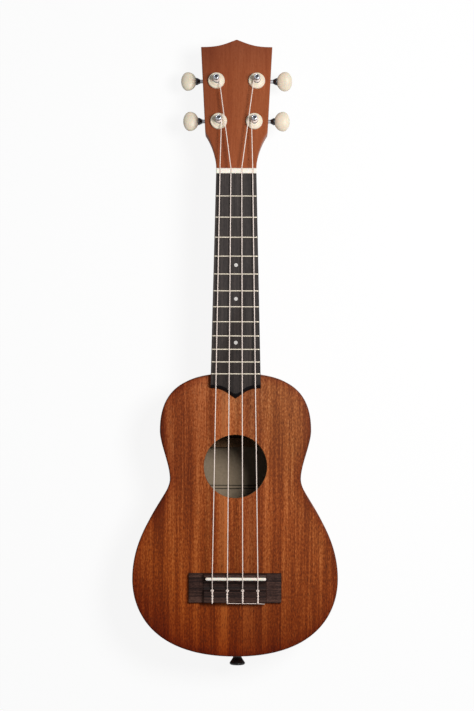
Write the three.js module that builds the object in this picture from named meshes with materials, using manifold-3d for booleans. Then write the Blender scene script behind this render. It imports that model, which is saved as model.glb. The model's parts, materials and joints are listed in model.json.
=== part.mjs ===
// Soprano ukulele, lying on its back. Millimetres, +X right as seen from the front, +Y towards the
// headstock, +Z out of the face. The origin is on the back's outer face, on the centreline, about
// halfway along the sound box.
import * as THREE from "three";
import { mergeVertices } from "three/addons/utils/BufferGeometryUtils.js";
import Module from "manifold-3d";

const wasm = await Module();
wasm.setup();

// ---------------------------------------------------------------- driving dimensions
const seatGap = 0.3; // clearance between pieces whose curved or turned faces only nearly touch

// Body
const bodyLength = 245.3;
const originToJoint = 122.25; // the neck joint's distance from the origin
const bodyDepth = 60;
const plateThickness = 2.2; // soundboard and back
const sideThickness = 2.2;
const upperBoutHalf = 65.6;
const waistHalf = 56.8;
const lowerBoutHalf = 89.2;
const upperBoutDrop = 49; // distances below the neck joint
const waistDrop = 91.3;
const lowerBoutDrop = 178;
const topHandle = 32.8; // lengths of the curve handles that shape the outline
const upperBoutHandleAbove = 44;
const upperBoutHandleBelow = 12.1;
const waistHandleAbove = 13;
const waistHandleBelow = 16.3;
const lowerBoutHandleAbove = 44.7;
const lowerBoutHandleBelow = 28.4;
const tailHandle = 71.6;
const outlineSteps = [12, 8, 12, 12];
const soundholeRadius = 27.3;
const soundholeDrop = 80.3;
const neckBlockHalf = 25;
const neckBlockLength = 20;
const tailBlockHalf = 22;
const tailBlockLength = 14;
const liningWidth = 5;
const liningHeight = 11;
const braceWidth = 8;
const braceHeight = 10;
const braceEndGap = 0.5;
const upperTopBraceDrop = 44.5;
const lowerTopBraceDrop = 115.5;
const upperBackBraceDrop = 62;
const lowerBackBraceDrop = 158;

// Strings and fingerboard
const scaleLength = 346;
const jointFret = 12; // the fret that stands over the neck joint
const saddleCompensation = 3.9;
const fingerboardThickness = 5;
const fingerboardHalfAtNut = 17.45;
const fingerboardHalfAtJoint = 21.5;
const fingerboardCornerPast = 12.6; // past the joint, at the corners
const fingerboardPointPast = 21.4; // past the joint, at the centre
const fretCount = 12;
const fretWidth = 1.6;
const fretHeight = 1;
const fretTangWidth = 0.6;
const fretTangDepth = 1.6;
const fretSlotWidth = 1;
const fretEndInset = 0.4;
const nutThickness = 4.6;
const nutNotchWidth = 1.4;
const stringRadius = 0.4;
const stringSpacingAtNut = 9.4;
const stringSpacingAtSaddle = 13.1;
const stringHeightAtNut = 2.2; // string centre above the fingerboard
const stringHeightAtSaddle = 11; // string centre above the soundboard

// Bridge
const bridgeHalf = 40.2;
const bridgeLength = 25.4;
const bridgeBlockHalf = 27;
const bridgeWingHeight = 3.4;
const bridgeBlockHeight = 8;
const bridgeCornerRadius = 0.8;
const saddleFromFront = 4.35;
const saddleThickness = 2.5;
const saddleReachLeft = 25.6; // from the centreline
const saddleReachRight = 26.8;
const saddleSlotWidth = 2.7;
const saddleSlotDepth = 4;
const bridgeHollowFromFront = 7.3;
const bridgeHollowLength = 7.3;
const bridgeHollowFloor = 4.5;
const tieHoleHeight = 5.6;

// Neck
const heelDepth = 54;
const heelPointDepth = 58; // where the heel's rounded section would end without its flat cap
const heelFlatLength = 9;
const heelCurveLength = 30;
const neckDepthAtHeel = 15;
const neckDepthAtNut = 13.4;
const neckEdge = 2; // straight part of the neck's side under the fingerboard
const neckSquaringLength = 20;

// Headstock
const headstockTilt = THREE.MathUtils.degToRad(12);
const headstockThickness = 13;
const headstockThroatHalf = 17.5;
const headstockCornerHalf = 27.2;
const headstockCornerAlong = 33.4;
const headstockShoulderHalf = 31.4;
const headstockShoulderAlong = 112;
const headstockTipAlong = 118.9;

// Tuners. Heights are measured along the post, from the headstock's face.
const lowerPostHalf = 15.5;
const lowerPostAlong = 42.9;
const upperPostHalf = 17.7;
const upperPostAlong = 80.2;
const postRadius = 2.9;
const postWaistRadius = 2.1;
const postStubRadius = 1.9;
const postTopRadius = 2.7;
const postTop = 12;
const postWaistLow = 4.6;
const postWaistHigh = 8.4;
const stringHeightAtPost = 6;
const bushingRadius = 7.3;
const bushingHeight = 3.5;
const bushingSleeveRadius = 4.2;
const bushingSleeveLength = 8;
const tunerPlateThickness = 1;
const tunerPlateHalf = 6.4;
const tunerPlateTowardsNut = 9.5;
const tunerPlateTowardsTip = 14.5;
const tunerScrewRadius = 1.2;
const tunerScrewInset = 2.6;
const gearTeeth = 14;
const gearPitchRadius = 4.6;
const gearAddendum = 0.55;
const gearDedendum = 0.7;
const gearThickness = 3;
const gearHubRadius = 3.3;
const gearBoreGap = 0.3;
const toothWidth = 0.85; // at the pitch line, on gear and worm alike
const toothSlope = 0.35; // side slope of each tooth flank
const wormPitchRadius = 2;
const wormCrestRadius = 2.5;
const wormRootRadius = 1.3;
const wormThreadHalf = 3.7;
const wormBelowPlate = 4.2;
const shaftRadius = 1.65;
const earInner = 5;
const earThickness = 1.2;
const earHalf = 2.8;
const collarStart = 14.9; // outwards from the post's axis
const collarLength = 3;
const collarRadius = 3.15;
const buttonLength = 13.3;
const buttonHalfWidth = 8.6;
const buttonHalfThickness = 4.6;
const buttonBoreDepth = 3.4;
const tuners = [
  { name: "lower_left", side: -1, half: lowerPostHalf, along: lowerPostAlong, buttonTurn: 4 },
  { name: "upper_left", side: -1, half: upperPostHalf, along: upperPostAlong, buttonTurn: -3 },
  { name: "upper_right", side: 1, half: upperPostHalf, along: upperPostAlong, buttonTurn: 24 },
  { name: "lower_right", side: 1, half: lowerPostHalf, along: lowerPostAlong, buttonTurn: 14 },
];
const strings = [
  { name: "g", place: -1.5, tuner: 0 },
  { name: "c", place: -0.5, tuner: 1 },
  { name: "e", place: 0.5, tuner: 2 },
  { name: "a", place: 1.5, tuner: 3 },
];

// Strap button
const strapButtonX = 2.2; // it sits a little to the right of the centreline
const strapButtonHeight = 11.4;
const strapButtonNeckRadius = 3.6;
const strapButtonFlangeRadius = 6.8;
const strapButtonFlareLength = 6.4;

// ---------------------------------------------------------------- places that follow from them
const jointY = originToJoint;
const tailY = originToJoint - bodyLength;
const soundboardUnder = bodyDepth - plateThickness;
const fingerboardTop = bodyDepth + fingerboardThickness;
const fretDistance = (n) => scaleLength * (1 - 2 ** (-n / 12)); // from the nut
const nutY = jointY + fretDistance(jointFret);
const saddleY = nutY - scaleLength - saddleCompensation;
const soundholeY = jointY - soundholeDrop;
const bridgeFrontY = saddleY + saddleFromFront;
const stringZAtNut = fingerboardTop + stringHeightAtNut;
const stringZAtSaddle = bodyDepth + stringHeightAtSaddle;
const headstockStartY = nutY + nutThickness + 0.2;
const plateTop = -headstockThickness - seatGap;
const plateUnder = plateTop - tunerPlateThickness;
const wormDepth = wormBelowPlate - plateUnder;
const centreDistance = gearPitchRadius + wormPitchRadius;
const circularPitch = (2 * Math.PI * gearPitchRadius) / gearTeeth;

// ---------------------------------------------------------------- geometry helpers
// A closed body skinned over rings of equal point counts. Each ring turns anticlockwise seen from the
// next one. The first and last rings are filled, or joined to each other when looped is true.
function loft(rings, looped = false) {
  const count = rings[0].length;
  const positions = rings.flat().flatMap((p) => [p.x, p.y, p.z]);
  const faces = [];
  const last = looped ? rings.length : rings.length - 1;
  for (let k = 0; k < last; k++) {
    const here = k * count;
    const next = ((k + 1) % rings.length) * count;
    for (let i = 0; i < count; i++) {
      const j = (i + 1) % count;
      faces.push(here + i, here + j, next + j, here + i, next + j, next + i);
    }
  }
  if (!looped) {
    const end = (rings.length - 1) * count;
    for (let i = 1; i < count - 1; i++) {
      faces.push(0, i + 1, i);
      faces.push(end, end + i, end + i + 1);
    }
  }
  const geometry = new THREE.BufferGeometry();
  geometry.setAttribute("position", new THREE.Float32BufferAttribute(positions, 3));
  geometry.setIndex(faces);
  return geometry;
}

// A profile of [radius, height] points turned about Z.
function turned(profile, sides, looped = false) {
  const rings = profile.map(([radius, height]) =>
    Array.from({ length: sides }, (_, i) => {
      const angle = (2 * Math.PI * i) / sides;
      return new THREE.Vector3(radius * Math.cos(angle), radius * Math.sin(angle), height);
    }),
  );
  return loft(rings, looped);
}

// A flat outline of [x, y] points raised from z = low to z = high, with round or polygonal holes.
function raised(outline, low, high, holes = []) {
  const shape = new THREE.Shape(outline.map(([x, y]) => new THREE.Vector2(x, y)));
  for (const hole of holes) {
    shape.holes.push(new THREE.Path(hole.map(([x, y]) => new THREE.Vector2(x, y))));
  }
  const geometry = new THREE.ExtrudeGeometry(shape, { depth: high - low, bevelEnabled: false });
  return geometry.translate(0, 0, low);
}

function circle(x, y, radius, sides) {
  return Array.from({ length: sides }, (_, i) => {
    const angle = (2 * Math.PI * i) / sides;
    return [x + radius * Math.cos(angle), y + radius * Math.sin(angle)];
  });
}

function box(x0, x1, y0, y1, z0, z1) {
  const geometry = new THREE.BoxGeometry(x1 - x0, y1 - y0, z1 - z0);
  return geometry.translate((x0 + x1) / 2, (y0 + y1) / 2, (z0 + z1) / 2);
}

// Turns (along, up) profiles that were raised in z so that they run along X: x = z, y = x, z = y.
const alongX = new THREE.Matrix4().set(0, 0, 1, 0, 1, 0, 0, 0, 0, 1, 0, 0, 0, 0, 0, 1);

function toSolid(geometry) {
  const bare = new THREE.BufferGeometry();
  bare.setAttribute("position", geometry.getAttribute("position"));
  bare.setIndex(geometry.index);
  const merged = mergeVertices(bare, 1e-4);
  return new wasm.Manifold(
    new wasm.Mesh({
      numProp: 3,
      vertProperties: merged.attributes.position.array,
      triVerts: new Uint32Array(merged.index.array),
    }),
  );
}

function fromSolid(solid) {
  const mesh = solid.getMesh();
  const positions = [];
  for (let i = 0; i < mesh.numVert; i++) {
    positions.push(...mesh.vertProperties.subarray(i * mesh.numProp, i * mesh.numProp + 3));
  }
  const geometry = new THREE.BufferGeometry();
  geometry.setAttribute("position", new THREE.Float32BufferAttribute(positions, 3));
  geometry.setIndex(Array.from(mesh.triVerts));
  return geometry;
}

function joined(...geometries) {
  return fromSolid(geometries.map(toSolid).reduce((a, b) => a.add(b)));
}

function cut(geometry, ...tools) {
  return fromSolid(tools.map(toSolid).reduce((a, b) => a.subtract(b), toSolid(geometry)));
}

// The same body seen in a mirror across x = 0.
function mirrored(geometry) {
  const copy = geometry.index ? geometry.toNonIndexed() : geometry.clone();
  const p = copy.getAttribute("position");
  for (let i = 0; i < p.count; i += 3) {
    const a = new THREE.Vector3().fromBufferAttribute(p, i + 1);
    const b = new THREE.Vector3().fromBufferAttribute(p, i + 2);
    p.setXYZ(i + 1, b.x, b.y, b.z);
    p.setXYZ(i + 2, a.x, a.y, a.z);
  }
  for (let i = 0; i < p.count; i++) {
    p.setX(i, -p.getX(i));
  }
  return copy;
}

// A closed round rod through points, with its side direction kept level at each bend.
function rod(points, radius, sides) {
  const rings = points.map((point, i) => {
    const before = points[Math.max(i - 1, 0)];
    const after = points[Math.min(i + 1, points.length - 1)];
    const forward = after.clone().sub(before).normalize();
    const right = new THREE.Vector3().crossVectors(forward, new THREE.Vector3(0, 0, 1)).normalize();
    const up = new THREE.Vector3().crossVectors(right, forward);
    return Array.from({ length: sides }, (_, k) => {
      const angle = (2 * Math.PI * k) / sides;
      return point
        .clone()
        .addScaledVector(right, radius * Math.cos(angle))
        .addScaledVector(up, -radius * Math.sin(angle));
    });
  });
  return loft(rings);
}

const group = new THREE.Group();

function add(name, geometry, finish) {
  const mesh = new THREE.Mesh(geometry, finish);
  mesh.name = name;
  group.add(mesh);
}

function finish(color, roughness, metalness = 0) {
  return new THREE.MeshStandardMaterial({ color, roughness, metalness });
}

const mahogany = finish(0x8a4520, 0.4);
const innerWood = finish(0xb08a5c, 0.7);
const rosewood = finish(0x352520, 0.5);
const ivory = finish(0xf0e8d8, 0.35);
const fretMetal = finish(0xcdb98a, 0.3, 1);
const steel = finish(0xb9bcc0, 0.25, 1);
const brass = finish(0xb49b62, 0.35, 1);
const cream = finish(0xe6dac2, 0.35);
const nylon = finish(0xf2ece4, 0.3);
const blackPlastic = finish(0x18181a, 0.4);

// ---------------------------------------------------------------- body outline
// Four cubic curves per half run from the neck joint, round the upper bout, in at the waist, out round
// the lower bout and in to the tail. Each point carries the outward normal of the curve.
function rightHalf() {
  const stations = [
    [0, jointY],
    [upperBoutHalf, jointY - upperBoutDrop],
    [waistHalf, jointY - waistDrop],
    [lowerBoutHalf, jointY - lowerBoutDrop],
    [0, tailY],
  ].map(([x, y]) => new THREE.Vector2(x, y));
  const leaving = [
    [topHandle, 0],
    [0, -upperBoutHandleBelow],
    [0, -waistHandleBelow],
    [0, -lowerBoutHandleBelow],
  ];
  const arriving = [
    [0, upperBoutHandleAbove],
    [0, waistHandleAbove],
    [0, lowerBoutHandleAbove],
    [tailHandle, 0],
  ];
  const points = [];
  outlineSteps.forEach((steps, k) => {
    const start = stations[k];
    const end = stations[k + 1];
    const curve = new THREE.CubicBezierCurve(
      start,
      start.clone().add(new THREE.Vector2(...leaving[k])),
      end.clone().add(new THREE.Vector2(...arriving[k])),
      end,
    );
    for (let i = k === 0 ? 0 : 1; i <= steps; i++) {
      const tangent = curve.getTangent(i / steps);
      points.push({ at: curve.getPoint(i / steps), normal: new THREE.Vector2(-tangent.y, tangent.x) });
    }
  });
  points[0].normal.set(0, 1);
  points[points.length - 1].normal.set(0, -1);
  return points;
}
const halfOutline = rightHalf();

// The right half of the outline moved inwards by inset, from the neck joint to the tail.
function halfAt(inset) {
  return halfOutline.map(({ at, normal }, i) => {
    const x = at.x - inset * normal.x;
    const onCentre = i === 0 || i === halfOutline.length - 1;
    return [onCentre ? 0 : x, at.y - inset * normal.y];
  });
}

const flipped = (points) => points.map(([x, y]) => [-x, y]);

function wholeAt(inset) {
  const right = halfAt(inset);
  return [...right, ...flipped(right.slice(1, -1)).reverse()];
}

// Half width of the outline, moved inwards by inset, at a height y.
function halfWidthAt(y, inset) {
  const side = halfAt(inset);
  const k = side.findIndex(([, py], i) => i > 0 && py <= y);
  const [x0, y0] = side[k - 1];
  const [x1, y1] = side[k];
  return x0 + ((x1 - x0) * (y0 - y)) / (y0 - y1);
}

// ---------------------------------------------------------------- sound box
const outerSide = halfAt(0);
const innerSide = halfAt(sideThickness);
const liningSide = halfAt(sideThickness + liningWidth);

add(
  "soundboard",
  raised(wholeAt(0), soundboardUnder, bodyDepth, [circle(0, soundholeY, soundholeRadius, 48)]),
  mahogany,
);
add("back_plate", raised(wholeAt(0), 0, plateThickness), mahogany);

const rightWall = [...outerSide, ...innerSide.slice().reverse()];
add("side_right", raised(rightWall, plateThickness, soundboardUnder), mahogany);
add("side_left", raised(flipped(rightWall), plateThickness, soundboardUnder), mahogany);

// A block fills the sound box behind the side wall, out to the outline point nearest half.
function blockOutline(points, half, innerY) {
  const edge = points.filter(([x]) => x <= half);
  const width = edge[edge.length - 1][0];
  return [[width, innerY], ...edge.slice().reverse(), ...flipped(edge.slice(1)), [-width, innerY]];
}
const nearNeck = innerSide.slice(0, 10);
const nearTail = innerSide.slice(-10).reverse();
const neckBlockEdge = nearNeck.filter(([x]) => x <= neckBlockHalf).length;
const tailBlockEdge = nearTail.filter(([x]) => x <= tailBlockHalf).length;
add(
  "neck_block",
  raised(
    blockOutline(nearNeck, neckBlockHalf, innerSide[0][1] - neckBlockLength),
    plateThickness,
    soundboardUnder,
  ),
  innerWood,
);
add(
  "tail_block",
  raised(
    blockOutline(nearTail, tailBlockHalf, nearTail[0][1] + tailBlockLength),
    plateThickness,
    soundboardUnder,
  ),
  innerWood,
);

// Linings run along the inside of each wall, from the neck block to the tail block.
const liningFrom = neckBlockEdge;
const liningTo = innerSide.length - tailBlockEdge;
const liningOutline = [
  ...innerSide.slice(liningFrom, liningTo),
  ...liningSide.slice(liningFrom, liningTo).reverse(),
];
for (const [level, low] of [
  ["top", soundboardUnder - liningHeight],
  ["back", plateThickness],
]) {
  add(level + "_lining_right", raised(liningOutline, low, low + liningHeight), innerWood);
  add(level + "_lining_left", raised(flipped(liningOutline), low, low + liningHeight), innerWood);
}

// Braces cross the plates, ending short of the linings.
for (const [name, drop, low] of [
  ["upper_top_brace", upperTopBraceDrop, soundboardUnder - braceHeight],
  ["lower_top_brace", lowerTopBraceDrop, soundboardUnder - braceHeight],
  ["upper_back_brace", upperBackBraceDrop, plateThickness],
  ["lower_back_brace", lowerBackBraceDrop, plateThickness],
]) {
  const y = jointY - drop;
  const inset = sideThickness + liningWidth;
  const room = Math.min(
    halfWidthAt(y + braceWidth / 2, inset),
    halfWidthAt(y, inset),
    halfWidthAt(y - braceWidth / 2, inset),
  );
  const half = room - braceEndGap;
  add(name, box(-half, half, y - braceWidth / 2, y + braceWidth / 2, low, low + braceHeight), innerWood);
}

// ---------------------------------------------------------------- headstock frame
// Local axes of the headstock: x across, y along its face away from the nut, z out of its face.
const headstockFrame = new THREE.Matrix4()
  .makeTranslation(0, headstockStartY, bodyDepth)
  .multiply(new THREE.Matrix4().makeRotationX(-headstockTilt));

function onHeadstock(geometry) {
  return geometry.applyMatrix4(headstockFrame);
}

// ---------------------------------------------------------------- neck
const halfTaper = (y) =>
  fingerboardHalfAtNut +
  ((fingerboardHalfAtJoint - fingerboardHalfAtNut) * (nutY - y)) / (nutY - jointY);

// The section at y: flat top, short straight edges, rounded underside that squares off at the headstock.
function neckSection(y, depth, top, squareness) {
  const half = y < nutY ? halfTaper(y) : Math.min(halfTaper(y), headstockThroatHalf);
  const ring = [new THREE.Vector3(-half, y, top), new THREE.Vector3(half, y, top)];
  const steps = 12;
  for (let i = 0; i <= steps; i++) {
    const angle = (Math.PI * i) / steps;
    const power = 1 - 0.6 * squareness;
    const x = half * Math.sign(Math.cos(angle)) * Math.abs(Math.cos(angle)) ** power;
    const drop = neckEdge + (depth - neckEdge) * Math.abs(Math.sin(angle)) ** power;
    const snapped = Math.abs(Math.cos(angle)) < 1e-9 ? 0 : x;
    ring.push(new THREE.Vector3(snapped, y, top - Math.min(drop, heelDepth)));
  }
  return ring;
}

const heelEndY = jointY + heelFlatLength + heelCurveLength;
const neckSections = [];
for (const y of [jointY - 6, jointY + heelFlatLength]) {
  neckSections.push(neckSection(y, heelPointDepth, bodyDepth, 0));
}
for (let i = 1; i <= 8; i++) {
  const angle = (Math.PI / 2) * (i / 8);
  const y = jointY + heelFlatLength + heelCurveLength * (1 - Math.cos(angle));
  const depth = heelPointDepth - (heelPointDepth - neckDepthAtHeel) * Math.sin(angle);
  neckSections.push(neckSection(y, depth, bodyDepth, 0));
}
for (let i = 1; i <= 4; i++) {
  const share = i / 4;
  const y = heelEndY + (nutY - neckSquaringLength - heelEndY) * share;
  neckSections.push(
    neckSection(y, neckDepthAtHeel + (neckDepthAtNut - neckDepthAtHeel) * share, bodyDepth, 0),
  );
}
for (let i = 1; i <= 4; i++) {
  const share = i / 4;
  const y = nutY - neckSquaringLength + (neckSquaringLength + nutThickness) * share;
  neckSections.push(neckSection(y, neckDepthAtNut, bodyDepth, share));
}
// The last section lies inside the headstock, a little below its face.
const lastSectionY = headstockStartY + 10;
neckSections.push(
  neckSection(
    lastSectionY,
    headstockThickness - 1.5,
    bodyDepth - (lastSectionY - headstockStartY) * Math.tan(headstockTilt) - 1,
    1,
  ),
);

// Headstock outline: a circular arc out from the throat to the corner, straight sides, and an ogee top.
function headstockOutline() {
  const rise = headstockCornerHalf - headstockThroatHalf;
  const arcRadius = (headstockCornerAlong ** 2 + rise ** 2) / (2 * rise);
  const right = [];
  for (let i = 0; i <= 8; i++) {
    const along = (headstockCornerAlong * i) / 8;
    right.push([headstockThroatHalf + arcRadius - Math.sqrt(arcRadius ** 2 - along ** 2), along]);
  }
  const top = new THREE.CubicBezierCurve(
    new THREE.Vector2(headstockShoulderHalf, headstockShoulderAlong),
    new THREE.Vector2(headstockShoulderHalf - 17, headstockShoulderAlong - 0.3),
    new THREE.Vector2(9, headstockTipAlong - 3.4),
    new THREE.Vector2(0, headstockTipAlong),
  );
  for (let i = 0; i <= 8; i++) {
    const p = top.getPoint(i / 8);
    right.push([i === 8 ? 0 : p.x, p.y]);
  }
  return [...right, ...flipped(right.slice(0, -1)).reverse()];
}

const postHoleRadius = bushingSleeveRadius + seatGap;
const postHoles = tuners.map(({ side, half, along }) =>
  onHeadstock(
    turned(
      [
        [postHoleRadius, -headstockThickness - 2],
        [postHoleRadius, 2],
      ],
      24,
    ).translate(side * half, along, 0),
  ),
);
const headstock = onHeadstock(raised(headstockOutline(), -headstockThickness, 0));
const bodyRoom = raised(wholeAt(-seatGap), -5, bodyDepth + 1);
add("neck", cut(joined(loft(neckSections), headstock), bodyRoom, ...postHoles), mahogany);

// ---------------------------------------------------------------- fingerboard, frets and nut
function fingerboardOutline() {
  const cornerY = jointY - fingerboardCornerPast;
  const pointY = jointY - fingerboardPointPast;
  const cornerHalf = halfTaper(cornerY);
  const end = new THREE.CubicBezierCurve(
    new THREE.Vector2(cornerHalf, cornerY),
    new THREE.Vector2(cornerHalf - 12, cornerY + 0.3),
    new THREE.Vector2(7, pointY + 4),
    new THREE.Vector2(0, pointY),
  );
  const right = [[fingerboardHalfAtNut, nutY]];
  for (let i = 0; i <= 8; i++) {
    const p = end.getPoint(i / 8);
    right.push([i === 8 ? 0 : p.x, p.y]);
  }
  return [...right, ...flipped(right.slice(0, -1)).reverse()];
}

const fretYs = Array.from({ length: fretCount }, (_, i) => nutY - fretDistance(i + 1));
const slotDepth = fretTangDepth + 0.3;
const fretSlots = fretYs.map((y) =>
  box(-40, 40, y - fretSlotWidth / 2, y + fretSlotWidth / 2, fingerboardTop - slotDepth, fingerboardTop + 1),
);
add(
  "fingerboard",
  cut(raised(fingerboardOutline(), bodyDepth, fingerboardTop), ...fretSlots),
  rosewood,
);

// A fret is a domed crown over a narrow tang that hangs in its slot.
function fretProfile() {
  const profile = [
    [-fretTangWidth / 2, -fretTangDepth],
    [fretTangWidth / 2, -fretTangDepth],
    [fretTangWidth / 2, 0],
  ];
  for (let i = 0; i <= 6; i++) {
    const angle = (Math.PI * i) / 6;
    profile.push([(fretWidth / 2) * Math.cos(angle), i === 0 || i === 6 ? 0 : fretHeight * Math.sin(angle)]);
  }
  profile.push([-fretTangWidth / 2, 0]);
  return profile;
}
fretYs.forEach((y, i) => {
  const half = halfTaper(y) - fretEndInset;
  const geometry = raised(fretProfile(), -half, half).applyMatrix4(alongX);
  add("fret_" + String(i + 1).padStart(2, "0"), geometry.translate(0, y, fingerboardTop), fretMetal);
});

const nutTop = stringZAtNut + stringRadius;
const notchFloor = stringZAtNut - stringRadius - 0.2;
function nutProfile() {
  const profile = [
    [-fingerboardHalfAtNut, bodyDepth],
    [fingerboardHalfAtNut, bodyDepth],
    [fingerboardHalfAtNut, nutTop],
  ];
  for (const { place } of strings.slice().reverse()) {
    const x = place * stringSpacingAtNut;
    profile.push([x + nutNotchWidth / 2, nutTop]);
    profile.push([x + nutNotchWidth / 2, notchFloor]);
    profile.push([x - nutNotchWidth / 2, notchFloor]);
    profile.push([x - nutNotchWidth / 2, nutTop]);
  }
  profile.push([-fingerboardHalfAtNut, nutTop]);
  return profile;
}
// Raised in z, then stood up so that the profile faces along Y.
add(
  "nut",
  raised(nutProfile(), -nutY - nutThickness, -nutY).applyMatrix4(
    new THREE.Matrix4().set(1, 0, 0, 0, 0, 0, -1, 0, 0, 1, 0, 0, 0, 0, 0, 1),
  ),
  ivory,
);

// ---------------------------------------------------------------- bridge and saddle
function roundedRectangle(x0, x1, y0, y1, radius) {
  const corners = [
    [x1 - radius, y0 + radius, -90],
    [x1 - radius, y1 - radius, 0],
    [x0 + radius, y1 - radius, 90],
    [x0 + radius, y0 + radius, 180],
  ];
  return corners.flatMap(([cx, cy, start]) =>
    Array.from({ length: 5 }, (_, i) => {
      const angle = THREE.MathUtils.degToRad(start + (90 * i) / 4);
      return [cx + radius * Math.cos(angle), cy + radius * Math.sin(angle)];
    }),
  );
}
const bridgeBackY = bridgeFrontY - bridgeLength;
const hollowFrontY = bridgeFrontY - bridgeHollowFromFront;
const tieBlockY = hollowFrontY - bridgeHollowLength;
const blockTop = bodyDepth + bridgeBlockHeight;
const slotFloor = blockTop - saddleSlotDepth;
const wings = raised(
  roundedRectangle(-bridgeHalf, bridgeHalf, bridgeBackY, bridgeFrontY, bridgeCornerRadius),
  bodyDepth,
  bodyDepth + bridgeWingHeight,
);
const blockProfile = [
  [bridgeBackY, bodyDepth],
  [bridgeFrontY, bodyDepth],
  [bridgeFrontY, blockTop - 1.5],
  [bridgeFrontY - 1.2, blockTop],
  [saddleY + saddleSlotWidth / 2, blockTop],
  [saddleY + saddleSlotWidth / 2, slotFloor],
  [saddleY - saddleSlotWidth / 2, slotFloor],
  [saddleY - saddleSlotWidth / 2, blockTop],
  [hollowFrontY, blockTop],
  [hollowFrontY, bodyDepth + bridgeHollowFloor],
  [tieBlockY, bodyDepth + bridgeHollowFloor],
  [tieBlockY, blockTop],
  [bridgeBackY + 1.2, blockTop],
  [bridgeBackY, blockTop - 1.5],
];
const block = raised(blockProfile, -bridgeBlockHalf, bridgeBlockHalf).applyMatrix4(alongX);
add("bridge", joined(wings, block), rosewood);

const saddleTop = stringZAtSaddle - stringRadius - 0.1;
const saddleProfile = [
  [saddleY - saddleThickness / 2, slotFloor],
  [saddleY + saddleThickness / 2, slotFloor],
  [saddleY + saddleThickness / 2, saddleTop - 0.9],
  [saddleY + 0.7, saddleTop - 0.2],
  [saddleY, saddleTop],
  [saddleY - 0.7, saddleTop - 0.2],
  [saddleY - saddleThickness / 2, saddleTop - 0.9],
];
add(
  "saddle",
  raised(saddleProfile, -saddleReachLeft, saddleReachRight).applyMatrix4(alongX),
  ivory,
);

// ---------------------------------------------------------------- strings
// Each string leaves its hole in the tie block, bends over the saddle and the nut, and meets its post on
// the side nearer the centreline.
for (const { name, place, tuner } of strings) {
  const { side, half, along } = tuners[tuner];
  const atSaddle = place * stringSpacingAtSaddle;
  const atNut = place * stringSpacingAtNut;
  const postX = side * (half - postWaistRadius - stringRadius - seatGap);
  const points = [
    new THREE.Vector3(atSaddle, tieBlockY + seatGap, bodyDepth + tieHoleHeight),
    new THREE.Vector3(atSaddle, saddleY, stringZAtSaddle),
    new THREE.Vector3(atNut, nutY, stringZAtNut),
    new THREE.Vector3(atNut, nutY + nutThickness, stringZAtNut),
    new THREE.Vector3(postX, along, stringHeightAtPost).applyMatrix4(headstockFrame),
  ];
  add("string_" + name, rod(points, stringRadius, 8), nylon);
}

// ---------------------------------------------------------------- tuners
// Each piece is built for the right side, with x outwards from the post, y towards the headstock's tip
// and z along the post from the headstock's face, then mirrored for the left side and put in place.
function placed(geometry, { side, half, along }) {
  const local = side < 0 ? mirrored(geometry) : geometry;
  return onHeadstock(local.translate(side * half, along, 0));
}

// A gear tooth is a trapezoid; the teeth slant so that they lie along the worm's thread.
function gearGeometry() {
  const tip = gearPitchRadius + gearAddendum;
  const root = gearPitchRadius - gearDedendum;
  const halfTip = toothWidth / 2 - toothSlope * gearAddendum;
  const halfRoot = toothWidth / 2 + toothSlope * gearDedendum;
  const outline = [];
  for (let k = 0; k < gearTeeth; k++) {
    const centre = Math.PI / 2 + (2 * Math.PI * (k + 0.5)) / gearTeeth;
    for (const [radius, offset] of [
      [root, -halfRoot],
      [tip, -halfTip],
      [tip, halfTip],
      [root, halfRoot],
    ]) {
      const angle = centre + offset / radius;
      outline.push([radius * Math.cos(angle), radius * Math.sin(angle)]);
    }
  }
  const bore = circle(0, 0, postStubRadius + gearBoreGap, 16);
  const low = -wormDepth - gearThickness / 2;
  const teeth = raised(outline, low, low + gearThickness, [bore]);
  const slant = circularPitch / (2 * Math.PI * wormPitchRadius * gearPitchRadius);
  const p = teeth.getAttribute("position");
  for (let i = 0; i < p.count; i++) {
    const angle = slant * (p.getZ(i) + wormDepth);
    const x = p.getX(i);
    const y = p.getY(i);
    if (Math.hypot(x, y) < postStubRadius + 2 * gearBoreGap) continue;
    p.setX(i, x * Math.cos(angle) - y * Math.sin(angle));
    p.setY(i, x * Math.sin(angle) + y * Math.cos(angle));
  }
  const hub = raised(circle(0, 0, gearHubRadius, 16), low + gearThickness - 0.5, plateUnder - seatGap, [bore]);
  return joined(teeth, hub);
}

// The worm's thread: a trapezoid swept along a helix, fading into the core at both ends.
function wormThread() {
  const turns = wormThreadHalf / circularPitch;
  const steps = Math.round(turns * 2 * 12);
  const rings = [];
  for (let i = 0; i <= steps; i++) {
    const share = (2 * i) / steps - 1;
    const angle = Math.PI + 2 * Math.PI * turns * share;
    const x = circularPitch * turns * share;
    const fade = Math.min(1, (1 - Math.abs(share)) * 6);
    const crest = 1.25 + (wormCrestRadius - 1.25) * fade;
    const inside = 0.9;
    const halfCrest = toothWidth / 2 - toothSlope * (crest - wormPitchRadius);
    const halfInside = toothWidth / 2 + toothSlope * (wormPitchRadius - inside);
    rings.push(
      [
        [-halfInside, inside],
        [-halfCrest, crest],
        [halfCrest, crest],
        [halfInside, inside],
      ].map(
        ([dx, radius]) =>
          new THREE.Vector3(x + dx, radius * Math.cos(angle), radius * Math.sin(angle)),
      ),
    );
  }
  return loft(rings.map((ring) => ring.reverse()));
}

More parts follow.
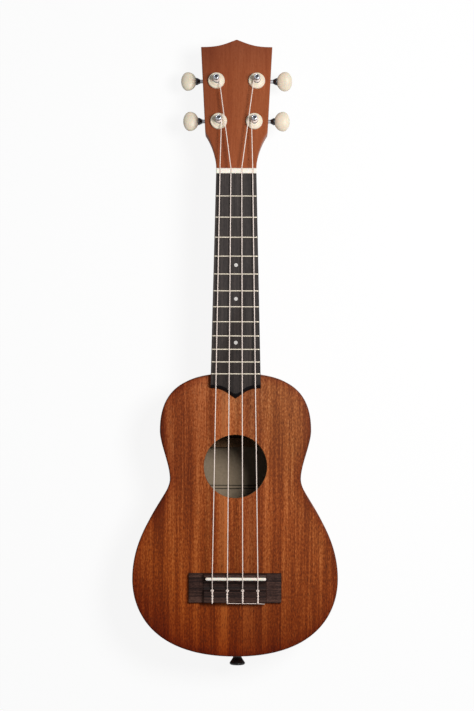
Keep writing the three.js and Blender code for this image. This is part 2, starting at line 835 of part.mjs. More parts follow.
function wormShaftGeometry() {
  const collarEnd = collarStart + collarLength;
  const profile = [
    [shaftRadius, -earInner - earThickness - 0.6],
    [shaftRadius, -wormThreadHalf - 0.6],
    [wormRootRadius, -wormThreadHalf - 0.3],
    [wormRootRadius, wormThreadHalf + 0.3],
    [shaftRadius, wormThreadHalf + 0.6],
    [shaftRadius, collarStart],
    [collarRadius, collarEnd - 0.4],
    [collarRadius, collarEnd],
    [shaftRadius, collarEnd],
    [shaftRadius, collarEnd + buttonBoreDepth],
  ];
  const core = turned(profile, 14).applyMatrix4(alongX);
  return joined(core, wormThread()).translate(0, centreDistance, -wormDepth);
}

// The button is an oval, flattened across its thickness, with a bore for the shaft's end.
function buttonGeometry(turn) {
  const start = collarStart + collarLength + seatGap;
  const rings = [];
  const rows = 9;
  for (let k = 0; k <= rows; k++) {
    const angle = Math.PI * (0.13 + (0.87 * k) / rows);
    const swell = k === rows ? 0.18 : Math.sin(angle) ** 0.75;
    const first = Math.cos(Math.PI * 0.13);
    const x = start + (buttonLength * (first - Math.cos(angle))) / (first + 1);
    rings.push(
      Array.from({ length: 20 }, (_, i) => {
        const around = (2 * Math.PI * i) / 20;
        return new THREE.Vector3(
          x,
          buttonHalfWidth * swell * Math.cos(around),
          buttonHalfThickness * swell * Math.sin(around),
        );
      }),
    );
  }
  const bore = turned(
    [
      [shaftRadius + seatGap, start - 1],
      [shaftRadius + seatGap, collarStart + collarLength + buttonBoreDepth + seatGap],
    ],
    12,
  ).applyMatrix4(alongX);
  return cut(loft(rings), bore)
    .rotateX(THREE.MathUtils.degToRad(turn))
    .translate(0, centreDistance, -wormDepth);
}

// The plate lies on the headstock's back; its two ears carry the worm's shaft.
function tunerPlateGeometry() {
  const outline = roundedRectangle(
    -tunerPlateHalf,
    tunerPlateHalf,
    -tunerPlateTowardsNut,
    tunerPlateTowardsTip,
    3,
  );
  const plate = raised(outline, plateUnder, plateTop, [
    circle(0, 0, postRadius + seatGap, 24),
    circle(0, tunerScrewInset - tunerPlateTowardsNut, tunerScrewRadius, 12),
    circle(0, tunerPlateTowardsTip - tunerScrewInset, tunerScrewRadius, 12),
  ]);
  const ear = [[centreDistance + earHalf, plateUnder + 0.2], [centreDistance - earHalf, plateUnder + 0.2]];
  for (let i = 0; i <= 8; i++) {
    const angle = Math.PI + (Math.PI * i) / 8;
    ear.push([centreDistance + earHalf * Math.cos(angle), -wormDepth + earHalf * Math.sin(angle)]);
  }
  const hole = circle(centreDistance, -wormDepth, shaftRadius + seatGap, 16);
  const ears = [earInner, -earInner - earThickness].map((x) =>
    raised(ear, x, x + earThickness, [hole]).applyMatrix4(alongX),
  );
  return joined(plate, ...ears);
}

const bushingProfile = [
  [bushingSleeveRadius, -bushingSleeveLength],
  [bushingSleeveRadius, seatGap],
  [bushingRadius, seatGap],
  [bushingRadius, seatGap + 0.55 * bushingHeight],
  [bushingRadius - 0.5, seatGap + 0.85 * bushingHeight],
  [bushingRadius - 1.6, seatGap + bushingHeight],
  [postRadius + seatGap, seatGap + bushingHeight],
  [postRadius + seatGap, -bushingSleeveLength],
];

const postProfile = [
  [postStubRadius, -wormDepth - gearThickness / 2 - 0.4],
  [postStubRadius, plateUnder],
  [postRadius, plateUnder],
  [postRadius, postWaistLow - 0.4],
  [postWaistRadius, postWaistLow],
  [postWaistRadius, postWaistHigh],
  [postTopRadius, postWaistHigh + 1],
  [postTopRadius, postTop - 0.5],
  [postTopRadius - 0.6, postTop],
];

for (const tuner of tuners) {
  const { name, buttonTurn } = tuner;
  add("tuner_plate_" + name, placed(tunerPlateGeometry(), tuner), steel);
  add("worm_shaft_" + name, placed(wormShaftGeometry(), tuner), steel);
  add("button_" + name, placed(buttonGeometry(buttonTurn), tuner), cream);
  add("gear_" + name, placed(gearGeometry(), tuner), brass);
  add("post_" + name, placed(turned(postProfile, 16), tuner), steel);
  add("bushing_" + name, placed(turned(bushingProfile, 20, true), tuner), cream);
}

// ---------------------------------------------------------------- strap button
const strapButtonProfile = [
  [strapButtonNeckRadius + 1, 0],
  [strapButtonNeckRadius + 0.1, 1],
  [strapButtonNeckRadius, strapButtonHeight - strapButtonFlareLength - 1],
  [strapButtonNeckRadius + 0.2, strapButtonHeight - strapButtonFlareLength],
  [strapButtonFlangeRadius - 0.5, strapButtonHeight - 2.4],
  [strapButtonFlangeRadius, strapButtonHeight - 1.7],
  [strapButtonFlangeRadius, strapButtonHeight - 0.8],
  [strapButtonFlangeRadius - 0.6, strapButtonHeight],
];
add(
  "strap_button",
  turned(strapButtonProfile, 24)
    .rotateX(Math.PI / 2)
    .translate(strapButtonX, tailY - seatGap, bodyDepth / 2),
  blackPlastic,
);

export default group;
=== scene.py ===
# %% [markdown]
# # A soprano ukulele
# The solid model of the ukulele is loaded first. It fixes every size and place, and it says which pieces
# turn. It could be shown as it is, but its pieces are plain: no crowned frets, no grain, no bent rim. So
# the cells after it build the surfaces that show, one piece or finish at a time, round those same
# measures.

# %% Load the solid model
import bmesh
import bpy
import numpy as np
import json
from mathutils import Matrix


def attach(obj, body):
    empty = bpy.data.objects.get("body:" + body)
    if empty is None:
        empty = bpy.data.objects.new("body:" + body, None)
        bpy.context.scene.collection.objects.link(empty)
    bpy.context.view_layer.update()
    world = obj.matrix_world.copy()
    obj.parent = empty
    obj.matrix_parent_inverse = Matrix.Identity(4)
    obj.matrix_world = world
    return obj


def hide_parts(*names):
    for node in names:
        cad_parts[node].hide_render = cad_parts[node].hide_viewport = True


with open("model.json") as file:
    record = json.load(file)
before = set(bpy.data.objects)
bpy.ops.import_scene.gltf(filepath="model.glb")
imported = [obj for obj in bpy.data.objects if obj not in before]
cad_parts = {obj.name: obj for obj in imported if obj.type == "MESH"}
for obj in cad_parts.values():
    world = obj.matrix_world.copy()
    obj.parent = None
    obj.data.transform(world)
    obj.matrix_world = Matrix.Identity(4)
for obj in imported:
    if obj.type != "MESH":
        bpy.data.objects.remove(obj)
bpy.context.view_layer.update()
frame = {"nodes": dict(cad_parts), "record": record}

# %% [markdown]
# ## Measures
# Lengths below are in millimetres, because a luthier's drawing uses them. They are turned into metres
# only where a mesh is made. X runs across, Y from the tail to the headstock, Z from the back to the
# face. The frets could be typed in as twelve places. They follow one law instead: each one shortens the
# sounding string by the twelfth root of two, so one number, the scale length, places them all.

# %% Main measures
MM = 0.001
BODY_DEPTH = 60.0
PLATE = 2.2
JOINT_Y = 122.25
TAIL_Y = JOINT_Y - 245.3
SCALE = 346.0
NUT_Y = JOINT_Y + SCALE / 2
NUT_LENGTH = 4.6
NUT_HALF = 17.45
JOINT_HALF = 21.5
FRET_LEVEL = BODY_DEPTH + 5.0
SOUNDHOLE = np.array([0.0, JOINT_Y - 80.3])
SOUNDHOLE_R = 27.3
COMPENSATION = 3.9
SADDLE_Y = NUT_Y - SCALE - COMPENSATION
BRIDGE_FRONT = SADDLE_Y + 4.35
BRIDGE_BACK = BRIDGE_FRONT - 25.4
STRING_R = 0.4


def fret_y(number):
    """Place of a fret along the board, from the law of frets."""
    return NUT_Y - SCALE * (1 - 2 ** (-number / 12))


def board_half(y):
    """Half the width of neck and fingerboard, growing evenly from the nut to the body and past it."""
    return NUT_HALF + (JOINT_HALF - NUT_HALF) * (NUT_Y - y) / (NUT_Y - JOINT_Y)


print("nut at", NUT_Y, "mm, twelfth fret at", round(fret_y(12), 2), "mm, saddle at", SADDLE_Y, "mm")

# %% [markdown]
# The headstock leans back by twelve degrees. Pieces on it could be made upright and turned as objects,
# but a finished piece has to lie unturned at the origin, or its grain would turn with it. So the
# headstock has a frame of its own: points are written as across, along its face and out of its face, and
# this helper puts them into the instrument's frame.

# %% Headstock frame
TILT = np.radians(12.0)
HEAD_START = np.array([0.0, NUT_Y + NUT_LENGTH + 0.2, BODY_DEPTH])
HEAD_THICK = 13.0
ALONG = np.array([0.0, np.cos(TILT), -np.sin(TILT)])
OUT = np.array([0.0, np.sin(TILT), np.cos(TILT)])


def on_head(points):
    """Across, along and out distances become x, y, z: start + across X + along the face + out of it."""
    points = np.asarray(points, float)
    across = points[..., :1] * np.array([1.0, 0.0, 0.0])
    return HEAD_START + across + points[..., 1:2] * ALONG + points[..., 2:3] * OUT


print("headstock face starts at", HEAD_START.tolist())

# %% [markdown]
# ## Camera
# The instrument is seen straight on from about a metre and a half above, so that near and far pieces
# keep their true proportions. A hair of roll leans it as it lies.

# %% Camera
camera_data = bpy.data.cameras.new("front_camera")
camera_data.lens = 88.0
camera_data.sensor_width = 36.0
camera_data.sensor_fit = "AUTO"
camera_data.clip_end = 20.0
camera = bpy.data.objects.new("front_camera", camera_data)
camera.location = (0.0011, 0.1381, 1.566)
camera.rotation_euler = (0.0, 0.0, 0.0031)
bpy.context.scene.collection.objects.link(camera)
bpy.context.scene.camera = camera
bpy.context.scene.view_settings.view_transform = "Standard"
print("camera is", round(camera.location.z, 3), "m above the floor")

# %% [markdown]
# ## Surfaces from tables of points
# Nearly every piece below is a stack of rings: a table of points whose rows are sections and whose
# columns run round each section. Four-sided faces join each point to its neighbours, and a flat face
# closes each end. The same shapes could be pulled out of a cube by hand with loop cuts. A table keeps
# each measure exact, is worked out whole with numpy, and follows when one number changes.


# %% Meshes from tables
def grid_faces(rows, columns, wrap_rows=False, wrap_columns=True):
    """Four-sided faces between neighbours in a table of rows by columns, as one index array."""
    r = np.arange(rows if wrap_rows else rows - 1)[:, None]
    c = np.arange(columns if wrap_columns else columns - 1)[None, :]
    r1, c1 = (r + 1) % rows, (c + 1) % columns
    quads = [r * columns + c, r * columns + c1, r1 * columns + c1, r1 * columns + c]
    return np.stack(quads, -1).reshape(-1, 4)


def make_mesh(name, points, faces, ends=(), attributes=None):
    """A mesh object from points in millimetres, four-sided faces and end faces of any length.
    attributes holds one number or one vector for each point, which a finish can read by its name."""
    mesh = bpy.data.meshes.new(name)
    places = np.asarray(points, float).reshape(-1, 3) * MM
    polygons = [tuple(face) for face in np.asarray(faces).tolist()] + [tuple(end) for end in ends]
    mesh.from_pydata(places.tolist(), [], polygons)
    for key, values in (attributes or {}).items():
        values = np.asarray(values, np.float32)
        vector = values.reshape(len(places), -1).shape[1] == 3
        layer = mesh.attributes.new(key, "FLOAT_VECTOR" if vector else "FLOAT", "POINT")
        layer.data.foreach_set("vector" if vector else "value", values.ravel())
    mesh.update()
    piece = bpy.data.objects.new(name, mesh)
    bpy.context.scene.collection.objects.link(piece)
    return piece


print("tables can become meshes")

# %% [markdown]
# Where a table closes on itself or comes to a pole, points lie on top of each other. They are merged,
# and then every face is turned outwards, so that light and thickness behave. In Edit Mode the commands
# Merge by Distance and Recalculate Outside do the same by hand.


# %% Closed skins
MERGE = 0.002 * MM


def face_out(piece):
    """Merges doubled points and turns every face outwards."""
    work = bmesh.new()
    work.from_mesh(piece.data)
    bmesh.ops.remove_doubles(work, verts=work.verts, dist=MERGE)
    bmesh.ops.recalc_face_normals(work, faces=work.faces)
    work.to_mesh(piece.data)
    work.free()
    return piece


def skin(name, rings, wrap=False, attributes=None):
    """A closed body through a stack of closed rings. wrap joins the last ring to the first one."""
    rings = np.asarray(rings, float)
    rows, columns = rings.shape[:2]
    last = (rows - 1) * columns
    ends = [] if wrap else [range(columns - 1, -1, -1), range(last, last + columns)]
    return face_out(make_mesh(name, rings, grid_faces(rows, columns, wrap), ends, attributes))


print("closed skins can be made")

# %% [markdown]
# Every finished piece gets the same things: smooth shading that stays crisp at sharp edges, a finish,
# the moving body that it rides on, and the solids whose place it takes. A crisp edge could also be a
# doubled edge in the mesh, but then a bevel or a wall thickness would tear there. Marking edges sharp by
# their angle leaves the mesh whole.


# %% Settling a piece
def settle(piece, body, finish, slot, *nodes, crease=38):
    """Finishes a piece: smooth shading with crisp edges, its finish, its moving body, and the plain
    solids that it stands for."""
    mesh = piece.data
    mesh.polygons.foreach_set("use_smooth", np.ones(len(mesh.polygons), bool))
    mesh.set_sharp_from_angle(angle=np.radians(crease))
    mesh.materials.append(finish)
    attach(piece, body)
    if nodes:
        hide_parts(*nodes)
    return piece


print("pieces can be settled on their bodies")

# %% [markdown]
# Some pieces need a second finish on a few faces, such as the bare wood inside the soundhole. They could
# be cut into two objects, but one mesh with two material slots has no seam. The faces are chosen by
# where their middles lie or by which way they look, so both can be read as one array.


# %% A second finish on some faces
def face_values(piece, kind):
    """The "center" of every face in millimetres, or its "normal", as an array with one row a face."""
    faces = piece.data.polygons
    values = np.empty(3 * len(faces), np.float32)
    faces.foreach_get(kind, values)
    return values.reshape(-1, 3).astype(float) / (MM if kind == "center" else 1.0)


def second_finish(piece, finish, chosen):
    """Gives the chosen faces of a piece another finish."""
    piece.data.materials.append(finish)
    piece.data.polygons.foreach_set("material_index", chosen.astype(np.int32))


print("faces can be chosen")

# %% [markdown]
# ## Finishes
# A finish is a small net of nodes. It could be a picture wrapped round each piece, but that needs an
# unwrapped mesh and blurs close up. Here patterns are worked out in space from the piece's own
# coordinates, so they run through every face the same way, as grain does in solid wood. The helpers
# below add nodes one call at a time, so that each finish reads as a recipe.


# %% Net of nodes
class Net:
    """The nodes of a material or a world, added one call at a time."""

    def __init__(self, owner):
        owner.use_nodes = True
        self.tree = owner.node_tree
        self.tree.nodes.clear()

    def node(self, kind, inputs=None, **settings):
        """Adds a node. An input is either a plain value or another node's output."""
        made = self.tree.nodes.new(kind)
        for key, value in settings.items():
            setattr(made, key, value)
        for key, value in (inputs or {}).items():
            self.join(value, made.inputs[key])
        return made

    def join(self, value, socket):
        """Links a node's output to a socket, or sets the socket to a plain value."""
        if isinstance(value, bpy.types.NodeSocket):
            self.tree.links.new(value, socket)
        elif socket.type == "RGBA":
            socket.default_value = (*value, 1.0)
        else:
            socket.default_value = value

    def math(self, operation, a, b=0.0):
        """One sum of two numbers or patterns."""
        return self.node("ShaderNodeMath", {0: a, 1: b}, operation=operation).outputs[0]


print("nets can be built")


# %% Finish helper
class Finish(Net):
    """A material around one glossy shader."""

    def __init__(self, name):
        self.material = bpy.data.materials.new(name)
        super().__init__(self.material)
        self.shader = self.node("ShaderNodeBsdfPrincipled")
        self.node("ShaderNodeOutputMaterial", {"Surface": self.shader.outputs[0]})

    def place(self, scale=(1, 1, 1), shift=(0, 0, 0), turn=0.0, attribute=None):
        """The piece's own coordinates, turned about Z, shifted and stretched."""
        if attribute:
            source = self.node("ShaderNodeAttribute", attribute_name=attribute).outputs["Vector"]
        else:
            source = self.node("ShaderNodeTexCoord").outputs["Object"]
        if turn:
            source = self.node("ShaderNodeMapping", {"Vector": source, "Rotation": (0, 0, turn)}).outputs[0]
        values = {"Vector": source, "Scale": scale, "Location": shift}
        return self.node("ShaderNodeMapping", values).outputs[0]

    def noise(self, place, detail, rough=0.5, distort=0.0):
        """Soft random levels, one for each place."""
        values = {"Vector": place, "Scale": 1.0, "Detail": detail, "Roughness": rough, "Distortion": distort}
        return self.node("ShaderNodeTexNoise", values).outputs[0]

    def spread(self, value, low, high, to_low=0.0, to_high=1.0):
        """Stretches the span low to high into to_low to to_high."""
        values = {"Value": value, "From Min": low, "From Max": high, "To Min": to_low, "To Max": to_high}
        return self.node("ShaderNodeMapRange", values).outputs[0]

    def ramp(self, value, stops):
        """A colour for each level of a pattern."""
        made = self.node("ShaderNodeValToRGB", {"Fac": value})
        band = made.color_ramp
        while len(band.elements) < len(stops):
            band.elements.new(0.5)
        for element, (position, colour) in zip(band.elements, stops):
            element.position = position
            element.color = (*colour, 1.0)
        return made.outputs[0]

    def mix(self, share, a, b, blend="MIX"):
        """Colour a with a share of colour b over it."""
        made = self.node("ShaderNodeMix", data_type="RGBA", blend_type=blend)
        self.join(share, made.inputs[0])
        self.join(a, made.inputs[6])
        self.join(b, made.inputs[7])
        return made.outputs[2]

    def dent(self, height, strength, depth):
        """Raises and sinks the surface by a pattern, depth metres at most."""
        made = self.node("ShaderNodeBump", {"Height": height, "Strength": strength, "Distance": depth})
        self.join(made.outputs[0], self.shader.inputs["Normal"])

    def done(self, **values):
        """Sets the shader's own sockets and gives the material back."""
        for key, value in values.items():
            self.join(value, self.shader.inputs[key.replace("_", " ")])
        return self.material


print("finish helper is ready")

# %% [markdown]
# ### Wood
# Mahogany with interlocked grain shows wide ribbons that change from light to dark across the board,
# because the fibres lean one way and then the other. Over them lie thin streaks of growth, a fine
# shimmer, and short dark dashes, which are open pores and also dent the surface. The Wave texture is the
# usual start for wood, but its even rings look like pine. Each layer here is noise stretched along the
# grain instead, which is never even. One recipe serves every wood, with other colours and widths. Ramps
# of tint can lie over it, each one growing along a slanted line. They are partly a toned finish and
# partly painted shade. A darker band near the rim, with painted shade on the rounded edge, can lie over
# it too, and so can painted shade in a hollow.


# %% Wood
def wood(name, dark, middle, light, seed, ribbon=11.0, streak=1.5, ribbons=0.55, pores=0.5, gloss=0.42,
         shine=0.1, across=False, attribute=None, contrast=1.0, flecks=0.07, tone_and_shade=(), rim_darkened_and_shaded=False,
         darkened_and_shaded=False):
    """Wood whose grain runs along Y, or along X if across. Colour is ribbons plus streaks plus shimmer,
    and widths are in millimetres. Each tinted ramp is a slant in degrees, the places in millimetres where
    it starts and ends, and its tints. The ramps stand partly for a toned finish and partly for painted shade.
    The two switches after them read each point's own share. One darkens a band near the rim and paints
    the rounded rim nearly black as shade. The other paints shade in a hollow and darkens the wood beside it."""
    made = Finish(name)
    turn = np.pi / 2 if across else 0.0

    def layer(width, length, depth, detail, rough, distort=0.0):
        scale = (1000 / width, 1000 / length, 1000 / depth)
        where = made.place(scale, (seed, seed * 0.7, seed * 0.3), turn, attribute)
        return made.noise(where, detail, rough, distort)

    wide = layer(ribbon, 420.0, 60.0, 1.0, 0.4, 0.35)
    thin = layer(streak, 90.0, 6.0, 3.0, 0.62)
    shimmer = layer(0.95, 2.4, 1.0, 1.5, 0.55, 0.4)
    fibre = layer(0.35, 14.0, 0.7, 3.0, 0.65)
    tone = made.math("MULTIPLY", wide, ribbons)
    tone = made.math("ADD", tone, made.math("MULTIPLY", thin, 1 - ribbons))
    tone = made.math("ADD", tone, made.spread(shimmer, 0.25, 0.75, -flecks, flecks))
    tone = made.math("ADD", tone, made.spread(fibre, 0.3, 0.7, -0.02, 0.02))
    half = 0.13 / contrast
    colour = made.ramp(tone, [(0.5 - half, dark), (0.5, middle), (0.5 + half, light)])
    # Each ramp multiplies the colour: partly a toned finish, partly painted shade of the lamp's fall-off.
    for slant, start, end, stops in tone_and_shade:
        turned_place = made.place(turn=np.radians(slant))
        travel = made.node("ShaderNodeSeparateXYZ", {0: turned_place}).outputs[1]
        tint = made.ramp(made.spread(travel, start * MM, end * MM), stops)
        colour = made.mix(1.0, colour, tint, "MULTIPLY")
    if rim_darkened_and_shaded:
        nearness = made.node("ShaderNodeAttribute", attribute_name="edge").outputs["Fac"]
        # A darker band over the last few millimetres of the face.
        rim_band = made.mix(1.0, colour, (0.74, 0.56, 0.50), "MULTIPLY")
        colour = made.mix(made.spread(nearness, 0.0, 0.6), colour, rim_band)
        # Painted shade: the rounded rim goes nearly black, as shade on the edge.
        colour = made.mix(made.spread(nearness, 0.7, 1.0, 0.0, 0.85), colour, (0.050, 0.014, 0.007))
    if darkened_and_shaded:
        # Painted shade: where this share is high, the colour goes nearly black.
        stain = made.node("ShaderNodeAttribute", attribute_name="stain").outputs["Fac"]
        colour = made.mix(stain, colour, (0.0035, 0.003, 0.003))
    hollows = made.spread(layer(0.42, 6.5, 0.8, 1.0, 0.4), 0.61, 0.70)
    colour = made.mix(made.math("MULTIPLY", hollows, pores), colour, tuple(0.3 * c for c in dark))
    made.dent(made.math("SUBTRACT", made.math("MULTIPLY", fibre, 0.3), hollows), 0.3, 0.0001)
    rough = made.spread(tone, 0.35, 0.65, gloss + 0.07, gloss - 0.04)
    return made.done(Base_Color=colour, Roughness=rough, Specular_IOR_Level=shine)


print("one recipe for wood is ready")

# %% [markdown]
# Four ramps multiply the top's colour. It darkens towards the tail, towards the lower left and towards
# the upper left. This is partly a toned finish and partly painted shade where the lamp's light falls off
# away from the upper right. One darker band lies right of the centreline. The headstock darkens towards
# its tip, and towards its left as painted shade on the side away from the light. Such shading could be
# painted by hand on the mesh. A ramp along a line is easier to change and has no edges.

# %% Tone and painted shade
TOP_TONE_AND_SHADE = [
    (0.0, TAIL_Y, JOINT_Y, [(0.0, (0.52, 0.28, 0.11)), (0.13, (0.73, 0.56, 0.35)), (0.32, (0.90, 0.82, 0.66)),
                            (0.5, (0.97, 0.91, 0.80)), (1.0, (1.0, 1.0, 1.0))]),
    (56.0, -122.0, 100.0, [(0.08, (0.59, 0.31, 0.18)), (0.18, (0.86, 0.58, 0.32)), (0.45, (0.75, 0.54, 0.39)),
                           (0.7, (0.86, 0.65, 0.51)), (0.88, (0.88, 0.82, 0.72)), (1.0, (1.0, 1.0, 1.0))]),
    (124.0, -98.0, -30.0, [(0.0, (0.82, 0.76, 0.78)), (0.5, (0.86, 0.82, 0.84)), (1.0, (1.0, 1.0, 1.0))]),
    (90.0, 0.0, 30.0, [(0.0, (1.0, 1.0, 1.0)), (0.3, (0.86, 0.84, 0.92)), (0.65, (0.86, 0.84, 0.92)),
                       (1.0, (1.0, 1.0, 1.0))]),
]
HEAD_TONE_AND_SHADE = [
    (0.0, 340.0, 418.0, [(0.0, (1.0, 1.0, 1.0)), (0.6, (0.96, 0.93, 0.95)), (1.0, (0.74, 0.68, 0.80))]),
    (90.0, -28.0, 28.0, [(0.0, (0.70, 0.62, 0.60)), (0.3, (0.93, 0.91, 0.90)), (0.6, (0.94, 0.92, 0.90)),
                         (1.0, (1.0, 1.0, 1.0))]),
]
# The coats are ramps of tint, partly a toned finish and partly painted shade.
print(len(TOP_TONE_AND_SHADE) + len(HEAD_TONE_AND_SHADE), "coats of lacquer are mixed")

# %% Woods
MAHOGANY = dict(dark=(0.118, 0.018, 0.002), middle=(0.235, 0.042, 0.004), light=(0.40, 0.098, 0.014))
top_wood = wood("ribbon_mahogany", (0.185, 0.047, 0.014), (0.363, 0.110, 0.030), (0.616, 0.260, 0.104),
                seed=10.3, pores=0.65, shine=0.07, flecks=0.11, tone_and_shade=TOP_TONE_AND_SHADE, rim_darkened_and_shaded=True)
back_wood = wood("back_mahogany", **MAHOGANY, seed=7.9)
rim_wood = wood("rim_mahogany", **MAHOGANY, seed=4.1, attribute="grain")
neck_wood = wood("neck_mahogany", (0.240, 0.053, 0.016), (0.304, 0.077, 0.025), (0.368, 0.106, 0.039),
                 ribbon=22, seed=3.1, ribbons=0.6, pores=0.18, shine=0.14, flecks=0.05, contrast=0.8,
                 tone_and_shade=HEAD_TONE_AND_SHADE)
# Bare wood inside the box, darker than bare wood, as painted shade inside the body.
bare_wood_darkened_for_shade = wood("bare_wood_darkened_for_shade", (0.11, 0.050, 0.020), (0.17, 0.085, 0.038), (0.24, 0.135, 0.065),
                 ribbon=8, seed=7.7, gloss=0.75, shine=0.2)
board_wood = wood("fingerboard_rosewood", (0.007, 0.004, 0.0035), (0.021, 0.015, 0.013),
                  (0.040, 0.029, 0.025), ribbon=6, streak=0.9, seed=5.3, ribbons=0.4, shine=0.22, gloss=0.5,
                  darkened_and_shaded=True)
bridge_wood = wood("bridge_rosewood", (0.012, 0.005, 0.004), (0.036, 0.016, 0.012), (0.085, 0.042, 0.031),
                   ribbon=7, streak=1.0, seed=1.3, ribbons=0.45, shine=0.10, gloss=0.5, across=True,
                   contrast=1.4, darkened_and_shaded=True)
print("woods are ready")

# %% [markdown]
# ### Plastic, metal, string and paper
# A moulded plastic has a faint clouding under its gloss. A turned or drawn metal shows fine scratches
# along the way it was worked, which change its roughness. Ivory and cream plastic let a little light
# into themselves, which softens them. One flat colour and one roughness would do from afar, but close up
# they look like nothing real, so each recipe clouds two close values with noise.


# %% Plastic, metal, string and paper
def plastic(name, colour, gloss, uneven, shine=0.5, glow=0.0):
    """Two close colours clouded together, with a nearly smooth surface. The clouds and the pits in the
    surface are counted by the metre."""
    clouds, pits = 160.0, 700.0
    made = Finish(name)
    cloud = made.noise(made.place((clouds, clouds, clouds)), 3.0, 0.6)
    low = tuple(c * (1 - uneven) for c in colour)
    high = tuple(min(1.0, c * (1 + uneven)) for c in colour)
    tint = made.mix(made.spread(cloud, 0.35, 0.65), low, high)
    made.dent(made.noise(made.place((pits, pits, pits)), 2.0), 0.08, 0.00005)
    rough = made.spread(cloud, 0.3, 0.7, gloss - 0.04, gloss + 0.06)
    return made.done(Base_Color=tint, Roughness=rough, Specular_IOR_Level=shine,
                     Subsurface_Weight=glow, Subsurface_Scale=0.001)


def metal(name, colour, gloss, scratch=(900.0, 60.0, 900.0)):
    """Fine scratches, stretched along the way the metal was worked. scratch counts them by the metre
    along X, Y and Z."""
    made = Finish(name)
    lines = made.noise(made.place(scratch), 3.0, 0.7)
    tint = made.mix(lines, tuple(0.82 * c for c in colour), colour)
    made.dent(lines, 0.06, 0.00003)
    rough = made.spread(lines, 0.3, 0.7, gloss, gloss + 0.14)
    return made.done(Base_Color=tint, Metallic=1.0, Roughness=rough)


ivory = plastic("ivory_plastic", (0.90, 0.84, 0.73), 0.34, 0.03, glow=0.1)
cream = plastic("cream_plastic", (0.80, 0.71, 0.56), 0.44, 0.05, shine=0.4, glow=0.1)
black_plastic = plastic("black_plastic", (0.010, 0.010, 0.011), 0.35, 0.2, shine=0.35)
nylon = plastic("nylon_string", (0.91, 0.77, 0.69), 0.3, 0.03, shine=0.4)
dot_shell = plastic("dot_shell", (0.55, 0.53, 0.50), 0.3, 0.1)
fret_metal = metal("fret_metal", (0.82, 0.74, 0.60), 0.36, (60.0, 900.0, 900.0))
chrome = metal("chrome", (0.46, 0.48, 0.52), 0.32)
# Dark steel for the collars. Deep in the posts' dimples it is painted shade.
dark_steel_and_shade = metal("dark_steel_and_shade", (0.09, 0.09, 0.10), 0.3)
# Nearly black, for the fingerboard's end: partly a dark end, partly painted shade.
black_end_and_shade = plastic("black_end_and_shade", (0.004, 0.004, 0.005), 0.6, 0.3, shine=0.08)
brass = metal("gear_brass", (0.62, 0.48, 0.24), 0.3)
print("plastic and metal finishes are ready")

# %% [markdown]
# The label inside the body is plain paper with two border lines and no words. A picture could hold the
# lines. Sums do it without one: each line is the set of places whose Y is within half a line's width of
# a value.


# %% Paper of the label
FIBRES, LINE_HALF, LINE_SOFT = 420.0, 0.28, 0.5
made = Finish("label_paper")
fibres = made.noise(made.place((FIBRES, FIBRES, FIBRES)), 4.0, 0.6)
tint = made.mix(made.spread(fibres, 0.3, 0.7), (0.255, 0.195, 0.132), (0.31, 0.24, 0.165))
y_place = made.node("ShaderNodeSeparateXYZ", {0: made.place()}).outputs[1]
ink = 0.0
for line_y in (21.3 * MM, 18.4 * MM):
    away = made.math("ABSOLUTE", made.math("SUBTRACT", y_place, line_y))
    ink = made.math("MAXIMUM", made.spread(away, LINE_HALF * MM, LINE_SOFT * MM, 1.0, 0.0), ink)
tint = made.mix(ink, tint, (0.03, 0.025, 0.02))
made.dent(fibres, 0.15, 0.00005)
label_paper = made.done(Base_Color=tint, Roughness=0.85, Specular_IOR_Level=0.15)
print("label paper is ready")

# %% [markdown]
# The solids that stay in view as they are, such as blocks, linings, braces and gears, take the finish
# of the material that the record names for them.

# %% Finish the solids
SOLID_FINISH = {
    "body_wood": back_wood, "inner_wood": bare_wood_darkened_for_shade, "dark_wood": board_wood, "ivory_plastic": ivory,
    "fret_metal": fret_metal, "string_nylon": nylon, "black_plastic": black_plastic,
    "tuner_metal": chrome, "gear_brass": brass, "cream_plastic": cream,
}
for part in frame["record"]["subparts"]:
    mesh = frame["nodes"][part["node"]].data
    mesh.materials.clear()
    mesh.materials.append(SOLID_FINISH[part["material_slot"]])
print(len(frame["nodes"]), "solids have a finish")

# %% [markdown]
# ## Light, floor and background
# One soft round lamp stands above the upper right, near enough that the light fades a little towards the
# tail. A sun lamp would be even from end to end and throw a hard shadow. Pale light comes from all
# round. The floor is a plain pale sheet that shows the shadow faintly: to the camera it is mostly a
# white glow, with a share of ordinary matte surface.

# %% Lamp
LAMP_FROM = np.array([0.42, 0.27, 0.866])
key_data = bpy.data.lights.new("key_lamp", "AREA")
key_data.shape = "DISK"
key_data.size = 0.34
key_data.energy = 8.5
key = bpy.data.objects.new("key_lamp", key_data)
key.location = LAMP_FROM * 0.95 + np.array([0.0, 0.05, 0.06])
key.rotation_euler = (np.arccos(LAMP_FROM[2]), 0.0, np.arctan2(LAMP_FROM[1], LAMP_FROM[0]) + np.pi / 2)
bpy.context.scene.collection.objects.link(key)
print("the lamp is", round(float(np.linalg.norm(key.location)), 2), "m away")

# %% Floor
REACH, SINK = 9000.0, -0.2
corners = [[-REACH, -REACH, SINK], [REACH, -REACH, SINK], [REACH, REACH, SINK], [-REACH, REACH, SINK]]
floor = make_mesh("floor", corners, [[0, 1, 2, 3]])
sheet = bpy.data.materials.new("pale_sheet")
net = Net(sheet)
matte = net.node("ShaderNodeBsdfDiffuse", {"Color": (0.93, 0.93, 0.93)})
glow = net.node("ShaderNodeEmission")
seen = net.node("ShaderNodeLightPath").outputs["Is Camera Ray"]
glow_share = net.math("MULTIPLY", seen, 0.9)
mixed = net.node("ShaderNodeMixShader", {0: glow_share, 1: matte.outputs[0], 2: glow.outputs[0]})
net.node("ShaderNodeOutputMaterial", {"Surface": mixed.outputs[0]})
floor.data.materials.append(sheet)
print("the floor reaches", 2 * REACH * MM, "m")

